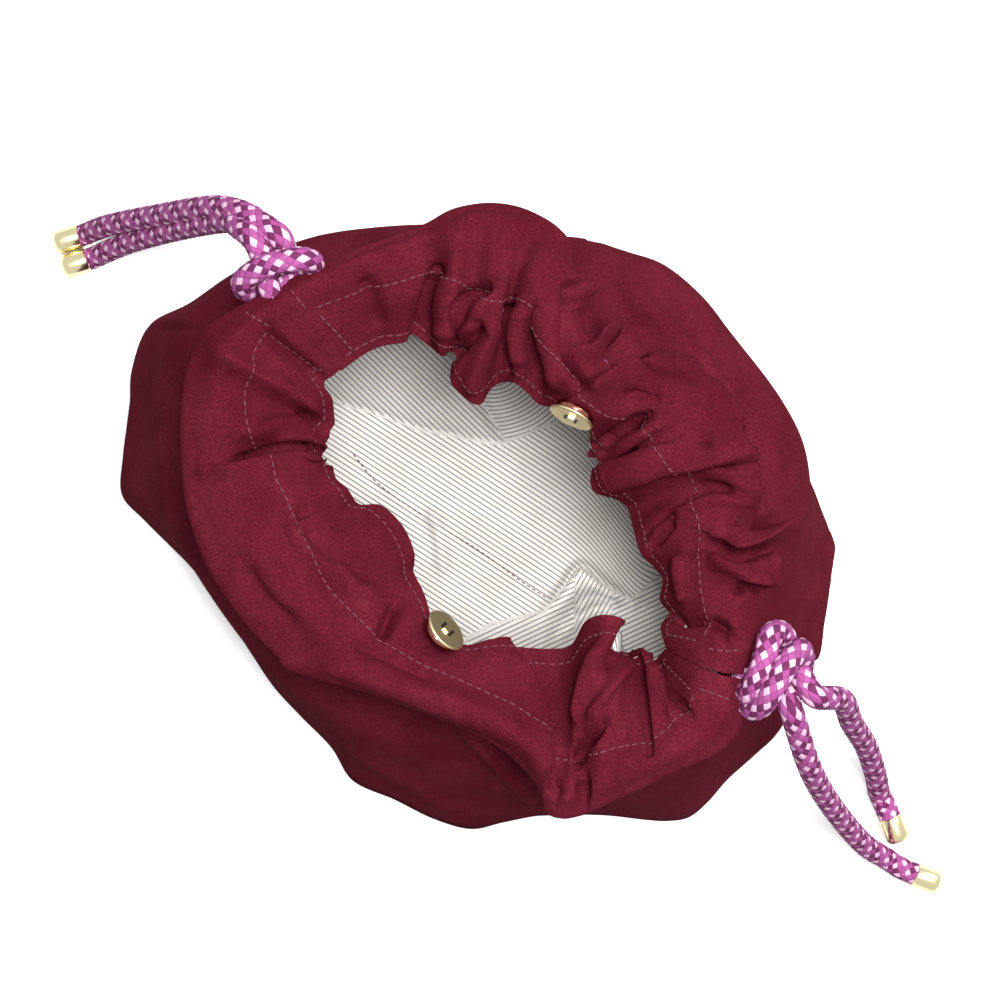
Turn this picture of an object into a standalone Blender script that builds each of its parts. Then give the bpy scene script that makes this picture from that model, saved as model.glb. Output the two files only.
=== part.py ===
"""Kinchaku drawstring pouch: two suede panels round a striped lining, standing open.

The frame is the bag's own: +X runs from the left cord exit to the right one, +Z is up, and the
origin is on the flat underside, under the middle of the mouth. The outlines below are drawn in
millimetres at the drawn size, clockwise as seen from above, and are then fitted to the driving
sizes. Each panel is one piece of suede from its rim, over the cord channel and down the wall, to
the seam along the bottom.
"""

import math

import bmesh
import bpy
import numpy as np
from mathutils import Matrix, Vector

# Driving sizes, in metres
BAG_LENGTH = 0.320
BAG_WIDTH = 0.249
BAG_HEIGHT = 0.151
MOUTH_LENGTH = 0.168
MOUTH_WIDTH = 0.097
SUEDE_THICKNESS = 0.0014
LINING_THICKNESS = 0.0008
LAYER_GAP = 0.0003
SEAM_GAP = 0.0003
LINING_SLACK = 0.009
LINING_EASE = 0.0015
CHANNEL_ROOM = 0.005
CHANNEL_UNDERCUT = 0.003
CHANNEL_DROP = 0.076
CHANNEL_SHARE = 0.40
FOOT_ROUNDING = 0.0025
CORD_DIAMETER = 0.0095
CORD_CLEARANCE = 0.0015
KNOT_LENGTH = 0.031
KNOT_WIDTH = 0.0195
KNOT_DEPTH = 0.0190
CAP_LENGTH = 0.0115
CAP_DIAMETER = 0.0106
CAP_ROUNDING = 0.0022
CAP_EDGE = 0.0004
SNAP_DIAMETER = 0.018
SNAP_PLATE_THICKNESS = 0.0013
SNAP_MAGNET_DIAMETER = 0.0165
SNAP_MAGNET_THICKNESS = 0.0030
SNAP_SLOT_LENGTH = 0.0048
SNAP_SLOT_WIDTH = 0.0012
SNAP_SLOT_SPACING = 0.0046
SNAP_EDGE = 0.0004
SNAP_DISH_EDGE = 0.001
CONTACT_GAP = 0.0003

# Shares of the way along the header, over the channel and down the wall where the rows between
# the stations' own points lie, and the heights of some rows as shares of the bag's height
HEADER_SHARES = (0.33, 0.68)
CHANNEL_FALL_SHARE = 0.55
HEEL_SHARE = 0.55
TUCK_DROP = 0.10
LINING_HANG_HEIGHT = 0.84
LINING_DROP_SHARE = 0.5
LINING_HEEL = 0.006
LINING_HEEL_ROUNDING = 0.004

# The size in millimetres that the outlines are drawn at
DRAWN_LENGTH = 320
DRAWN_WIDTH = 249
DRAWN_HEIGHT = 151
DRAWN_MOUTH_LENGTH = 168
DRAWN_MOUTH_WIDTH = 97

# Each station is a line across the gathered band, with its point on the rim, on the channel's
# stitching, on the crest over the cord and on the channel's outer edge. Ridges and valleys of the
# gathers are stations, and the rim is high on a ridge and low in a valley.
BACK_STATIONS = [
    ((-76, 10, 130), (-102, 14, 146), (-110, 16, 149), (-114, 17, 141)),
    ((-73, 20, 131), (-96, 24, 147), (-106, 26, 151), (-114, 24, 140)),
    ((-69, 27, 131), (-88, 37, 147), (-100, 40, 151), (-106, 36, 140)),
    ((-64, 33, 130), (-81, 47, 146), (-93, 52, 150), (-100, 49, 140)),
    ((-61, 37, 125), (-74, 58, 143), (-87, 62, 149), (-93, 61, 140)),
    ((-56, 38, 121), (-70, 61, 138), (-82, 69, 147), (-87, 72, 139)),
    ((-50, 38, 134), (-64, 63, 149), (-77, 78, 151), (-83, 82, 141)),
    ((-47, 40, 122), (-56, 64, 142), (-72, 87, 150), (-78, 89, 141)),
    ((-40, 32, 128), (-50, 65, 148), (-66, 91, 150), (-72, 95, 141)),
    ((-28, 33, 125), (-45, 68, 147), (-60, 94, 150), (-64, 100, 141)),
    ((-27, 43, 118), (-44, 71, 140), (-53, 95, 149), (-55, 103, 141)),
    ((-21, 48, 132), (-39, 74, 147), (-45, 95, 151), (-46, 104, 141)),
    ((-9, 48, 124), (-30, 73, 144), (-36, 91, 150), (-38, 102, 139)),
    ((-4, 50, 130), (-19, 68, 150), (-25, 82, 149), (-28, 93, 134)),
    ((6, 52, 130), (-6, 62, 150), (-12, 72, 147), (-15, 83, 133)),
    ((13, 52, 134), (11, 60, 149), (5, 70, 151), (0, 80, 138)),
    ((17, 47, 124), (22, 65, 146), (18, 77, 151), (12, 82, 141)),
    ((19, 45, 130), (30, 66, 148), (31, 81, 151), (25, 90, 141)),
    ((22, 44, 120), (36, 63, 144), (43, 82, 150), (39, 93, 141)),
    ((28, 37, 134), (43, 61, 149), (56, 79, 150), (57, 90, 141)),
    ((36, 38, 128), (51, 61, 147), (65, 76, 149), (69, 84, 140)),
    ((44, 39, 116), (57, 61, 138), (70, 71, 145), (77, 78, 138)),
    ((51, 34, 122), (62, 56, 144), (73, 64, 146), (81, 70, 135)),
    ((58, 29, 130), (68, 51, 148), (81, 60, 149), (89, 68, 138)),
    ((67, 28, 124), (73, 45, 145), (88, 56, 148), (97, 66, 139)),
    ((72, 26, 130), (78, 39, 148), (93, 52, 150), (103, 61, 139)),
    ((76, 20, 122), (84, 33, 145), (96, 44, 147), (105, 50, 137)),
    ((82, 18, 118), (90, 28, 146), (99, 36, 149), (106, 42, 138)),
    ((83, 12, 126), (96, 21, 147), (104, 28, 150), (111, 35, 140)),
    ((87, 9, 127), (100, 14, 147), (108, 19, 149), (114, 25, 141)),
]
FRONT_STATIONS = [
    ((91, 4, 124), (105, 6, 146), (115, 8, 149), (122, 12, 141)),
    ((90, 1, 118), (109, -3, 146), (121, 1, 150), (130, 3, 140)),
    ((86, 1, 124), (109, -13, 146), (120, -11, 150), (130, -10, 140)),
    ((83, 0, 130), (107, -22, 148), (116, -22, 151), (124, -23, 140)),
    ((81, -2, 118), (104, -28, 143), (112, -31, 149), (119, -34, 139)),
    ((77, 0, 116), (100, -32, 148), (108, -37, 151), (115, -43, 140)),
    ((71, 5, 132), (97, -36, 148), (105, -44, 150), (111, -51, 139)),
    ((63, 2, 138), (94, -41, 147), (102, -50, 150), (108, -58, 139)),
    ((59, -5, 130), (91, -45, 141), (98, -55, 146), (105, -64, 137)),
    ((61, -16, 120), (88, -49, 142), (96, -61, 150), (100, -69, 139)),
    ((56, -22, 116), (83, -51, 141), (89, -62, 146), (94, -71, 138)),
    ((49, -26, 126), (70, -47, 149), (80, -57, 151), (86, -65, 139)),
    ((41, -29, 132), (58, -47, 149), (67, -55, 151), (72, -63, 140)),
    ((35, -34, 134), (47, -50, 148), (54, -57, 151), (58, -64, 140)),
    ((29, -42, 132), (36, -53, 148), (41, -60, 151), (45, -67, 140)),
    ((18, -45, 131), (21, -57, 147), (26, -65, 151), (30, -72, 140)),
    ((4, -37, 132), (4, -60, 147), (10, -69, 151), (14, -78, 140)),
    ((-5, -33, 128), (-10, -60, 147), (-6, -72, 151), (-3, -86, 140)),
    ((-9, -28, 117), (-23, -59, 147), (-22, -73, 151), (-18, -91, 139)),
    ((-19, -23, 113), (-34, -56, 147), (-37, -72, 151), (-35, -91, 138)),
    ((-31, -22, 114), (-44, -52, 147), (-49, -69, 150), (-51, -88, 138)),
    ((-38, -27, 122), (-53, -47, 147), (-61, -65, 150), (-66, -83, 138)),
    ((-45, -25, 131), (-61, -42, 147), (-71, -60, 150), (-79, -76, 139)),
    ((-52, -25, 127), (-69, -39, 147), (-81, -54, 150), (-90, -68, 139)),
    ((-58, -22, 119), (-78, -37, 140), (-90, -48, 147), (-100, -58, 138)),
    ((-63, -17, 130), (-87, -32, 148), (-98, -41, 150), (-109, -48, 139)),
    ((-66, -10, 122), (-95, -25, 148), (-105, -32, 150), (-117, -37, 139)),
    ((-71, -3, 127), (-102, -15, 147), (-112, -21, 151), (-123, -25, 139)),
    ((-77, 1, 130), (-106, -3, 147), (-115, -6, 151), (-125, -9, 139)),
    ((-77, 6, 130), (-103, 8, 146), (-111, 9, 149), (-118, 8, 141)),
]

# Outlines of the wall at its fullest and at the foot, each from one side seam to the other
BULGE_HEIGHT = 75
BULGE_BACK = [
    (-125, -48), (-137, -30), (-140, -5), (-135, 20), (-122, 45), (-100, 69), (-78, 87), (-53, 102),
    (-36, 112), (-14, 120), (7, 125), (30, 125), (57, 118), (81, 108), (96, 93), (108, 76),
    (121, 55), (131, 37), (137, 21),
]
BULGE_FRONT = [
    (137, 21), (139, 1), (134, -26), (115, -51), (90, -69), (64, -83), (38, -95), (15, -102),
    (-12, -105), (-40, -101), (-66, -94), (-92, -83), (-111, -68), (-125, -48),
]
FOOT_BACK = [
    (-146, -60), (-154, -49), (-160, -31), (-153, -12), (-145, 14), (-130, 41), (-101, 67), (-60, 95),
    (-20, 112), (19, 118), (59, 114), (92, 104), (115, 92), (126, 83), (133, 76), (147, 51),
    (156, 28),
]
FOOT_FRONT = [
    (156, 28), (159, 11), (155, -20), (151, -44), (122, -66), (100, -85), (81, -107), (52, -116),
    (35, -122), (14, -117), (-18, -114), (-50, -105), (-77, -98), (-124, -92), (-134, -78), (-146, -60),
]
SEAM_END_SHARE = 0.12

# The slack lining's foot on the floor of the bag: it is drawn in under the back panel
LINING_FOOT_BACK = [
    (-138, -52), (-128, -20), (-108, 8), (-88, 24), (-62, 33), (-34, 40), (-8, 52), (6, 62), (24, 72),
    (52, 76), (84, 70), (112, 56), (134, 36), (146, 22),
]
LINING_FOOT_FRONT = [
    (146, 22), (146, -8), (132, -40), (108, -64), (72, -86), (36, -98), (4, -98), (-34, -94),
    (-74, -84), (-116, -76), (-138, -52),
]

# How far, as drawn, the rows between stations stand above a straight line between them
ROW_LIFT = 2.0

# Rows of a panel's grid, counted from the rim: the channel's stitching, the wall, and how many
# rows at the end lie flat on the ground
STITCH_ROW = 3
WALL_FIRST_ROW = 8
WALL_LAST_ROW = 12
FLAT_ROWS = 2

# Folds of the wall: points along each fold, its half width and how far it stands out
WALL_FOLDS = [
    ([(-30, 105), (-4, 94), (23, 91), (43, 91), (57, 88)], 9, 6),
    ([(-16, 84), (2, 86), (14, 83), (17, 76)], 7, 6),
    ([(121, 72), (112, 66), (104, 58)], 8, 4),
    ([(34, -72), (60, -84), (84, -88)], 9, 5),
]
FOLD_SAMPLES = 24
FOLD_END_FADE = 0.12

# Where the snap halves sit: the station, and how far up from the rim towards the stitching
BACK_SNAP_SEAT = (14.4, 0.42)
FRONT_SNAP_SEAT = (14.9, 0.42)

# Routes of the cord ends, in millimetres, from the knot to the cap
KNOTS = {
    "left_knot": ((-124.45, 23.6, 143), 60),
    "right_knot": ((125.8, 24.0, 144), -45),
}
TAILS = {
    "left_tail_upper": [
        (-128.6, 38.7, 147), (-136, 37.5, 142), (-147, 33, 125), (-158, 26, 102), (-172, 16, 75),
        (-184, 6, 48), (-194, -3, 22), (-201, -10, 7.5), (-205, -14.5, 5.3), (-209, -19, 5.3),
    ],
    "left_tail_lower": [
        (-139.0, 21.6, 145), (-146, 19, 138), (-153, 15.5, 119), (-159, 11, 97), (-168, 3, 71),
        (-180, -8, 42), (-188, -17, 18), (-193.5, -23.5, 7), (-196.5, -27.5, 5.3), (-199.5, -32, 5.3),
    ],
    "right_tail_upper": [
        (134.9, 33.6, 148), (143, 36, 141), (157, 36, 115), (170, 32, 86), (185, 29, 56),
        (199, 23.5, 27), (209, 18.5, 8.5), (214, 16, 5.5), (217, 14.5, 5.3), (220, 13, 5.3),
    ],
    "right_tail_lower": [
        (140.5, 12.6, 147), (148, 11.5, 140), (163, 8, 112), (180, 3, 80), (199, -1, 48),
        (217, -3, 20), (229, -2, 7.5), (238, -1, 5.3), (244, 1, 5.3),
    ],
}
TAIL_SAMPLES = 26
RUN_SAMPLES = 44


def material(name, colour, roughness, metallic=0.0):
    """A plain Principled material, with its colour as linear red, green and blue."""
    made = bpy.data.materials.new(name)
    made.use_nodes = True
    shader = made.node_tree.nodes["Principled BSDF"]
    shader.inputs["Base Color"].default_value = (*colour, 1.0)
    shader.inputs["Roughness"].default_value = roughness
    shader.inputs["Metallic"].default_value = metallic
    return made


def fitted(points, length=BAG_LENGTH / DRAWN_LENGTH, width=BAG_WIDTH / DRAWN_WIDTH):
    """Drawn points, with their height, as metres at the driving sizes."""
    height = BAG_HEIGHT / DRAWN_HEIGHT
    return np.array(points, float) * (length, width, height)


def lengths_along(points):
    """The distance along a line of points, as a share of its whole length."""
    steps = np.linalg.norm(np.diff(points, axis=0), axis=1)
    distance = np.concatenate([[0.0], np.cumsum(steps)])
    return distance / distance[-1]


def smooth_line(points, shares):
    """Points at the given shares of a smooth curve that passes through all the points."""
    points = np.array(points, float)
    knots = lengths_along(points)
    slopes = np.gradient(points, knots, axis=0)
    span = np.clip(np.searchsorted(knots, shares, side="right") - 1, 0, len(knots) - 2)
    width = (knots[span + 1] - knots[span])[:, None]
    part = (np.array(shares)[:, None] - knots[span][:, None]) / width
    start = 2 * part**3 - 3 * part**2 + 1
    end = 3 * part**2 - 2 * part**3
    leave = (part**3 - 2 * part**2 + part) * width
    arrive = (part**3 - part**2) * width
    return start * points[span] + end * points[span + 1] + leave * slopes[span] + arrive * slopes[span + 1]


def on_outline(points, height, shares):
    """A closed half outline at one height, read at the stations' shares of its length."""
    return smooth_line(fitted([(x, y, height) for x, y in points]), shares)


def between(first, second, share):
    return first + (second - first) * share


def drawn_in(ring, distance):
    """The ring moved towards the middle of the bag by a distance, level with itself."""
    moved = ring.copy()
    reach = np.linalg.norm(ring[:, :2], axis=1, keepdims=True)
    moved[:, :2] -= ring[:, :2] / reach * distance
    return moved


def at_height(ring, height):
    moved = ring.copy()
    moved[:, 2] = height
    return moved


def half_rings(stations, bulge, foot, lining_foot):
    """The named rings of one half of the bag, each with one point for every station."""
    rim, stitch, crest, outer = (np.array([line[column] for line in stations]) for column in range(4))
    rings = {
        "rim": fitted(rim, MOUTH_LENGTH / DRAWN_MOUTH_LENGTH, MOUTH_WIDTH / DRAWN_MOUTH_WIDTH),
        "stitch": fitted(stitch),
        "crest": fitted(crest),
        "outer": fitted(outer),
    }
    shares = lengths_along(rings["outer"][:, :2])
    rings["shares"] = shares
    rings["bulge"] = on_outline(bulge, BULGE_HEIGHT, shares)
    rings["foot"] = on_outline(foot, 0, shares)
    rings["lining_foot"] = on_outline(lining_foot, 0, shares)
    return rings


def bottom_seam(shares, side):
    """The seam along the middle of the bottom, read at the stations' shares, for one side of it."""
    left = np.array(FOOT_BACK[0]) * (BAG_LENGTH / DRAWN_LENGTH, BAG_WIDTH / DRAWN_WIDTH)
    right = np.array(FOOT_FRONT[0]) * (BAG_LENGTH / DRAWN_LENGTH, BAG_WIDTH / DRAWN_WIDTH)
    along = (right - left) / np.linalg.norm(right - left)
    across = np.array([-along[1], along[0]]) * side
    start, end = (left, right) if side > 0 else (right, left)
    line = between(start, end, SEAM_END_SHARE + (1 - 2 * SEAM_END_SHARE) * shares[:, None])
    return np.column_stack([line + across * SEAM_GAP / 2, np.zeros(len(line))]), across


def stand_out(grid, normals):
    """Pushes the wall out along its folds."""
    out = np.zeros(grid.shape[:2])
    scale = np.array([BAG_LENGTH / DRAWN_LENGTH, BAG_WIDTH / DRAWN_WIDTH])
    for points, half_width, height in WALL_FOLDS:
        line = smooth_line(np.array(points, float) * scale, np.linspace(0, 1, FOLD_SAMPLES))
        away = np.linalg.norm(grid[:, :, None, :2] - line, axis=3)
        nearest = away.argmin(axis=2)
        end_fade = np.sin(np.pi * np.clip(nearest / (FOLD_SAMPLES - 1), FOLD_END_FADE, 1 - FOLD_END_FADE))
        out += height * end_fade * np.exp(-((away.min(axis=2) / (half_width * scale[0])) ** 2))
    return grid + normals * (out * BAG_WIDTH / DRAWN_WIDTH)[:, :, None]


def grid_normals(grid):
    """Outward unit normals of a grid whose rows run round the bag and columns run from the rim down."""
    around = np.gradient(grid, axis=1)
    down = np.gradient(grid, axis=0)
    normals = np.cross(around, down)
    normals[-FLAT_ROWS:] = (0.0, 0.0, -1.0)
    return normals / np.linalg.norm(normals, axis=2, keepdims=True)


def share_end_normals(first, second):
    """Gives both halves the same normals where they meet at the side seams."""
    for one, other in ((0, -1), (-1, 0)):
        mean = first[:, one] + second[:, other]
        mean /= np.linalg.norm(mean, axis=1, keepdims=True)
        first[:, one] = mean
        second[:, other] = mean


def part_seams(grid, across, first_row):
    """Opens the small gap between the two halves at their side seams."""
    for column in (0, -1):
        grid[first_row:, column, :2] += across * SEAM_GAP / 2


def suede_grid(rings, side):
    """The outer face of one panel, from the rim over the channel and down to the bottom seam."""
    rim, stitch, crest, outer = (rings[name] for name in ("rim", "stitch", "crest", "outer"))
    lift = BAG_HEIGHT / DRAWN_HEIGHT * np.array([0, 0, ROW_LIFT])
    tuck = at_height(drawn_in(outer, CHANNEL_UNDERCUT), outer[:, 2] - TUCK_DROP * BAG_HEIGHT)
    bulge, foot = rings["bulge"], rings["foot"]
    heel = at_height(foot, 4 * FOOT_ROUNDING)
    edge = at_height(drawn_in(foot, FOOT_ROUNDING), 0.0)
    seam, across = bottom_seam(rings["shares"], side)
    rows = [
        rim,
        between(rim, stitch, HEADER_SHARES[0]) + lift,
        between(rim, stitch, HEADER_SHARES[1]) + lift,
        stitch,
        between(stitch, crest, 0.5) + lift / 2,
        crest,
        between(crest, outer, CHANNEL_FALL_SHARE) + lift,
        outer,
        tuck,
        between(tuck, bulge, 0.5) + lift,
        bulge,
        between(bulge, heel, HEEL_SHARE),
        heel,
        edge,
        between(edge, seam, 0.5),
        seam,
    ]
    grid = np.array(rows)
    part_seams(grid[:-1], across, WALL_FIRST_ROW)
    return grid


def lining_grid(rings, suede, normals, side):
    """The outer face of one lining half: it follows the header, then hangs from the stitching."""
    below = suede - normals * (SUEDE_THICKNESS + LAYER_GAP)
    stitch, bulge, low = rings["stitch"], rings["bulge"], rings["lining_foot"]
    floor = SUEDE_THICKNESS + LAYER_GAP
    hang = at_height(drawn_in(stitch, CHANNEL_ROOM), LINING_HANG_HEIGHT * BAG_HEIGHT)
    drop = between(hang, drawn_in(bulge, LINING_SLACK), LINING_DROP_SHARE)
    edge = at_height(drawn_in(low, LINING_HEEL_ROUNDING), floor)
    seam, across = bottom_seam(rings["shares"], side)
    rows = [
        below[0],
        below[1],
        below[2],
        below[3] - normals[3] * LINING_EASE,
        hang,
        drop,
        between(drop, low, 0.5),
        at_height(low, LINING_HEEL),
        edge,
        at_height(between(edge, seam, 0.5), floor),
        at_height(seam, floor),
    ]
    grid = np.array(rows)
    part_seams(grid[:-1], across, STITCH_ROW + 1)
    return grid


def shell(name, outer, normals, thickness, finish):
    """A closed sheet of even thickness, from the grid of its outer face."""
    inner = outer - normals * thickness
    row_count, column_count = outer.shape[:2]
    mesh = bmesh.new()
    faces = [[[mesh.verts.new(point) for point in row] for row in grid] for grid in (outer, inner)]
    top, under = faces

    def wall(a, b, c, d):
        mesh.faces.new((a, b, c))
        mesh.faces.new((a, c, d))

    for row in range(row_count - 1):
        for column in range(column_count - 1):
            corners = [(row, column), (row + 1, column), (row + 1, column + 1), (row, column + 1)]
            if column < column_count // 2:
                corners = corners[1:] + corners[:1]
            wall(*[top[r][c] for r, c in corners])
            wall(*[under[r][c] for r, c in (corners[0], corners[3], corners[2], corners[1])])
    for column in range(column_count - 1):
        wall(top[0][column], top[0][column + 1], under[0][column + 1], under[0][column])
        wall(under[-1][column], under[-1][column + 1], top[-1][column + 1], top[-1][column])
    for row in range(row_count - 1):
        wall(under[row][0], under[row + 1][0], top[row + 1][0], top[row][0])
        wall(top[row][-1], top[row + 1][-1], under[row + 1][-1], under[row][-1])
    bmesh.ops.recalc_face_normals(mesh, faces=mesh.faces)
    return finished(name, mesh, finish)


def finished(name, mesh, finish):
    """The object of a bmesh, smooth where it is round, with its material."""
    data = bpy.data.meshes.new(name)
    mesh.to_mesh(data)
    mesh.free()
    data.materials.append(finish)
    data.shade_smooth()
    data.set_sharp_from_angle(angle=math.radians(50))
    made = bpy.data.objects.new(name, data)
    bpy.context.scene.collection.objects.link(made)
    return made


def turned(name, profile, frame, finish, segments=20):
    """A solid of revolution from (radius, height) points, standing on the frame's own axis."""
    mesh = bmesh.new()
    rings = []
    for radius, height in profile:
        if radius == 0:
            rings.append([mesh.verts.new(frame @ Vector((0, 0, height)))])
            continue
        ring = []
        for step in range(segments):
            angle = 2 * math.pi * step / segments
            ring.append(mesh.verts.new(frame @ Vector((radius * math.cos(angle), radius * math.sin(angle), height))))
        rings.append(ring)
    for lower, upper in zip(rings, rings[1:]):
        for step in range(segments):
            after = (step + 1) % segments
            if len(lower) == 1:
                mesh.faces.new((lower[0], upper[after], upper[step]))
            elif len(upper) == 1:
                mesh.faces.new((lower[step], lower[after], upper[0]))
            else:
                mesh.faces.new((lower[step], lower[after], upper[after], upper[step]))
    bmesh.ops.recalc_face_normals(mesh, faces=mesh.faces)
    return finished(name, mesh, finish)


def tube(name, points, finish):
    """A round cord along a line of points."""
    curve = bpy.data.curves.new(name, "CURVE")
    curve.dimensions = "3D"
    curve.bevel_depth = CORD_DIAMETER / 2
    curve.bevel_resolution = 2
    curve.use_fill_caps = True
    spline = curve.splines.new("POLY")
    spline.points.add(len(points) - 1)
    for target, point in zip(spline.points, points):
        target.co = (*point, 1.0)
    curve.materials.append(finish)
    made = bpy.data.objects.new(name, curve)
    bpy.context.scene.collection.objects.link(made)
    return made


def axis_frame(point, direction, sideways):
    """A frame at a point whose Z runs along a direction and whose X lies as near as it can sideways."""
    z = Vector(direction).normalized()
    x = (Vector(sideways) - z * z.dot(Vector(sideways))).normalized()
    y = z.cross(x)
    return Matrix.Translation(Vector(point)) @ Matrix((x, y, z)).transposed().to_4x4()


def cord_end(name, route, finish, cap_finish):
    """One free end of the drawcord and the metal cap crimped on it."""
    points = smooth_line(np.array(route) / 1000.0, np.linspace(0, 1, TAIL_SAMPLES))
    tube(name, points, finish)
    direction = points[-1] - points[-2]
    direction /= np.linalg.norm(direction)
    radius = CAP_DIAMETER / 2
    length = CAP_LENGTH
    small = CAP_ROUNDING
    profile = [
        (0, 0),
        (radius - CAP_EDGE, 0),
        (radius, CAP_EDGE),
        (radius, length - small),
        (radius - 0.3 * small, length - 0.3 * small),
        (radius - small, length),
        (0, length),
    ]
    start = points[-1] + direction * CONTACT_GAP
    start[2] = radius
    level = (direction[0], direction[1], 0.0)
    turned(name.replace("tail", "cap"), profile, axis_frame(start, level, (0, 0, 1)), cap_finish, 16)


def knot(name, centre, turn, finish):
    """The tied knot's outer shape: a plump rounded bundle lying along the channel's end."""
    mesh = bmesh.new()
    bmesh.ops.create_uvsphere(mesh, u_segments=16, v_segments=10, radius=0.5)
    size = Matrix.Diagonal((KNOT_LENGTH, KNOT_WIDTH, KNOT_DEPTH, 1.0))
    place = Matrix.Translation(Vector(centre) / 1000.0) @ Matrix.Rotation(math.radians(turn), 4, "Z")
    bmesh.ops.transform(mesh, matrix=place @ size, verts=mesh.verts)
    finished(name, mesh, finish)


def channel_run(name, rings, finish):
    """The drawcord inside one channel, midway between the stitching and the channel's outer edge."""
    middle = between(rings["stitch"], rings["outer"], CHANNEL_SHARE)
    middle = at_height(middle, BAG_HEIGHT - SUEDE_THICKNESS - CORD_DIAMETER / 2 - CHANNEL_DROP * BAG_HEIGHT)
    for _ in range(2):
        middle[1:-1] = (middle[:-2] + 2 * middle[1:-1] + middle[2:]) / 4
    ends = CORD_CLEARANCE + CORD_DIAMETER / 2
    whole = np.linalg.norm(np.diff(middle, axis=0), axis=1).sum()
    tube(name, smooth_line(middle, np.linspace(ends / whole, 1 - ends / whole, RUN_SAMPLES)), finish)


def seat_of_snap(grid, normals, seat):
    """A point of the header and the direction that it faces there."""
    station, share = seat
    column = int(station)
    part = station - column
    spread = share * STITCH_ROW
    row = int(spread)
    down = spread - row

    def read(values):
        upper = between(values[row, column], values[row, column + 1], part)
        lower = between(values[row + 1, column], values[row + 1, column + 1], part)
        return between(upper, lower, down)

    facing = read(normals)
    around = grid[row, column + 1] - grid[row, column]
    return read(grid), facing / np.linalg.norm(facing), around


def clear_of(grid, point, facing, radius):
    """How far along the facing direction the suede rises within a radius of the point."""
    fine = []
    for row in range(STITCH_ROW + 1):
        for share in np.linspace(0, 1, 5):
            upper = grid[row, :-1] + (grid[row, 1:] - grid[row, :-1]) * share
            lower = grid[row + 1, :-1] + (grid[row + 1, 1:] - grid[row + 1, :-1]) * share
            fine += [between(upper, lower, step) for step in np.linspace(0, 1, 5)]
    offsets = np.concatenate(fine) - point
    along = offsets @ facing
    across = np.linalg.norm(offsets - along[:, None] * facing, axis=1)
    return along[across < radius].max()


def slot_cutter(name, frame, sideways):
    mesh = bmesh.new()
    bmesh.ops.create_cube(mesh, size=1.0)
    size = Matrix.Diagonal((SNAP_SLOT_WIDTH, SNAP_SLOT_LENGTH, 6 * SNAP_PLATE_THICKNESS, 1.0))
    bmesh.ops.transform(mesh, matrix=frame @ Matrix.Translation((sideways, 0, 0)) @ size, verts=mesh.verts)
    data = bpy.data.meshes.new(name)
    mesh.to_mesh(data)
    mesh.free()
    cutter = bpy.data.objects.new(name, data)
    cutter.hide_render = True
    cutter.display_type = "WIRE"
    bpy.context.scene.collection.objects.link(cutter)
    return cutter


def snap_half(side, grid, normals, seat, gold, magnet_finish):
    """One half of the magnetic snap: the magnet's dish on the suede and the slotted plate over it."""
    point, facing, around = seat_of_snap(grid, normals, seat)
    rise = clear_of(grid, point, facing, SNAP_MAGNET_DIAMETER / 2)
    foot = point + facing * (rise + CONTACT_GAP)
    frame = axis_frame(foot, facing, around)
    radius = SNAP_MAGNET_DIAMETER / 2
    top = SNAP_MAGNET_THICKNESS
    edge = SNAP_DISH_EDGE
    dish = [(0, 0), (radius - edge, 0), (radius, edge), (radius, top), (0, top)]
    turned(side + "_snap_magnet", dish, frame, magnet_finish, 24)
    radius = SNAP_DIAMETER / 2
    top = SNAP_PLATE_THICKNESS
    edge = SNAP_EDGE
    disc = [(0, 0), (radius - edge, 0), (radius, edge), (radius, top - edge), (radius - edge, top), (0, top)]
    seated = frame @ Matrix.Translation((0, 0, SNAP_MAGNET_THICKNESS + CONTACT_GAP))
    plate = turned(side + "_snap_plate", disc, seated, gold, 24)
    for number, sideways in enumerate((-SNAP_SLOT_SPACING / 2, SNAP_SLOT_SPACING / 2)):
        cut = plate.modifiers.new(f"slot_{number}", "BOOLEAN")
        cut.operation = "DIFFERENCE"
        cut.solver = "EXACT"
        cut.object = slot_cutter(f"{side}_slot_{number}", seated, sideways)


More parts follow.
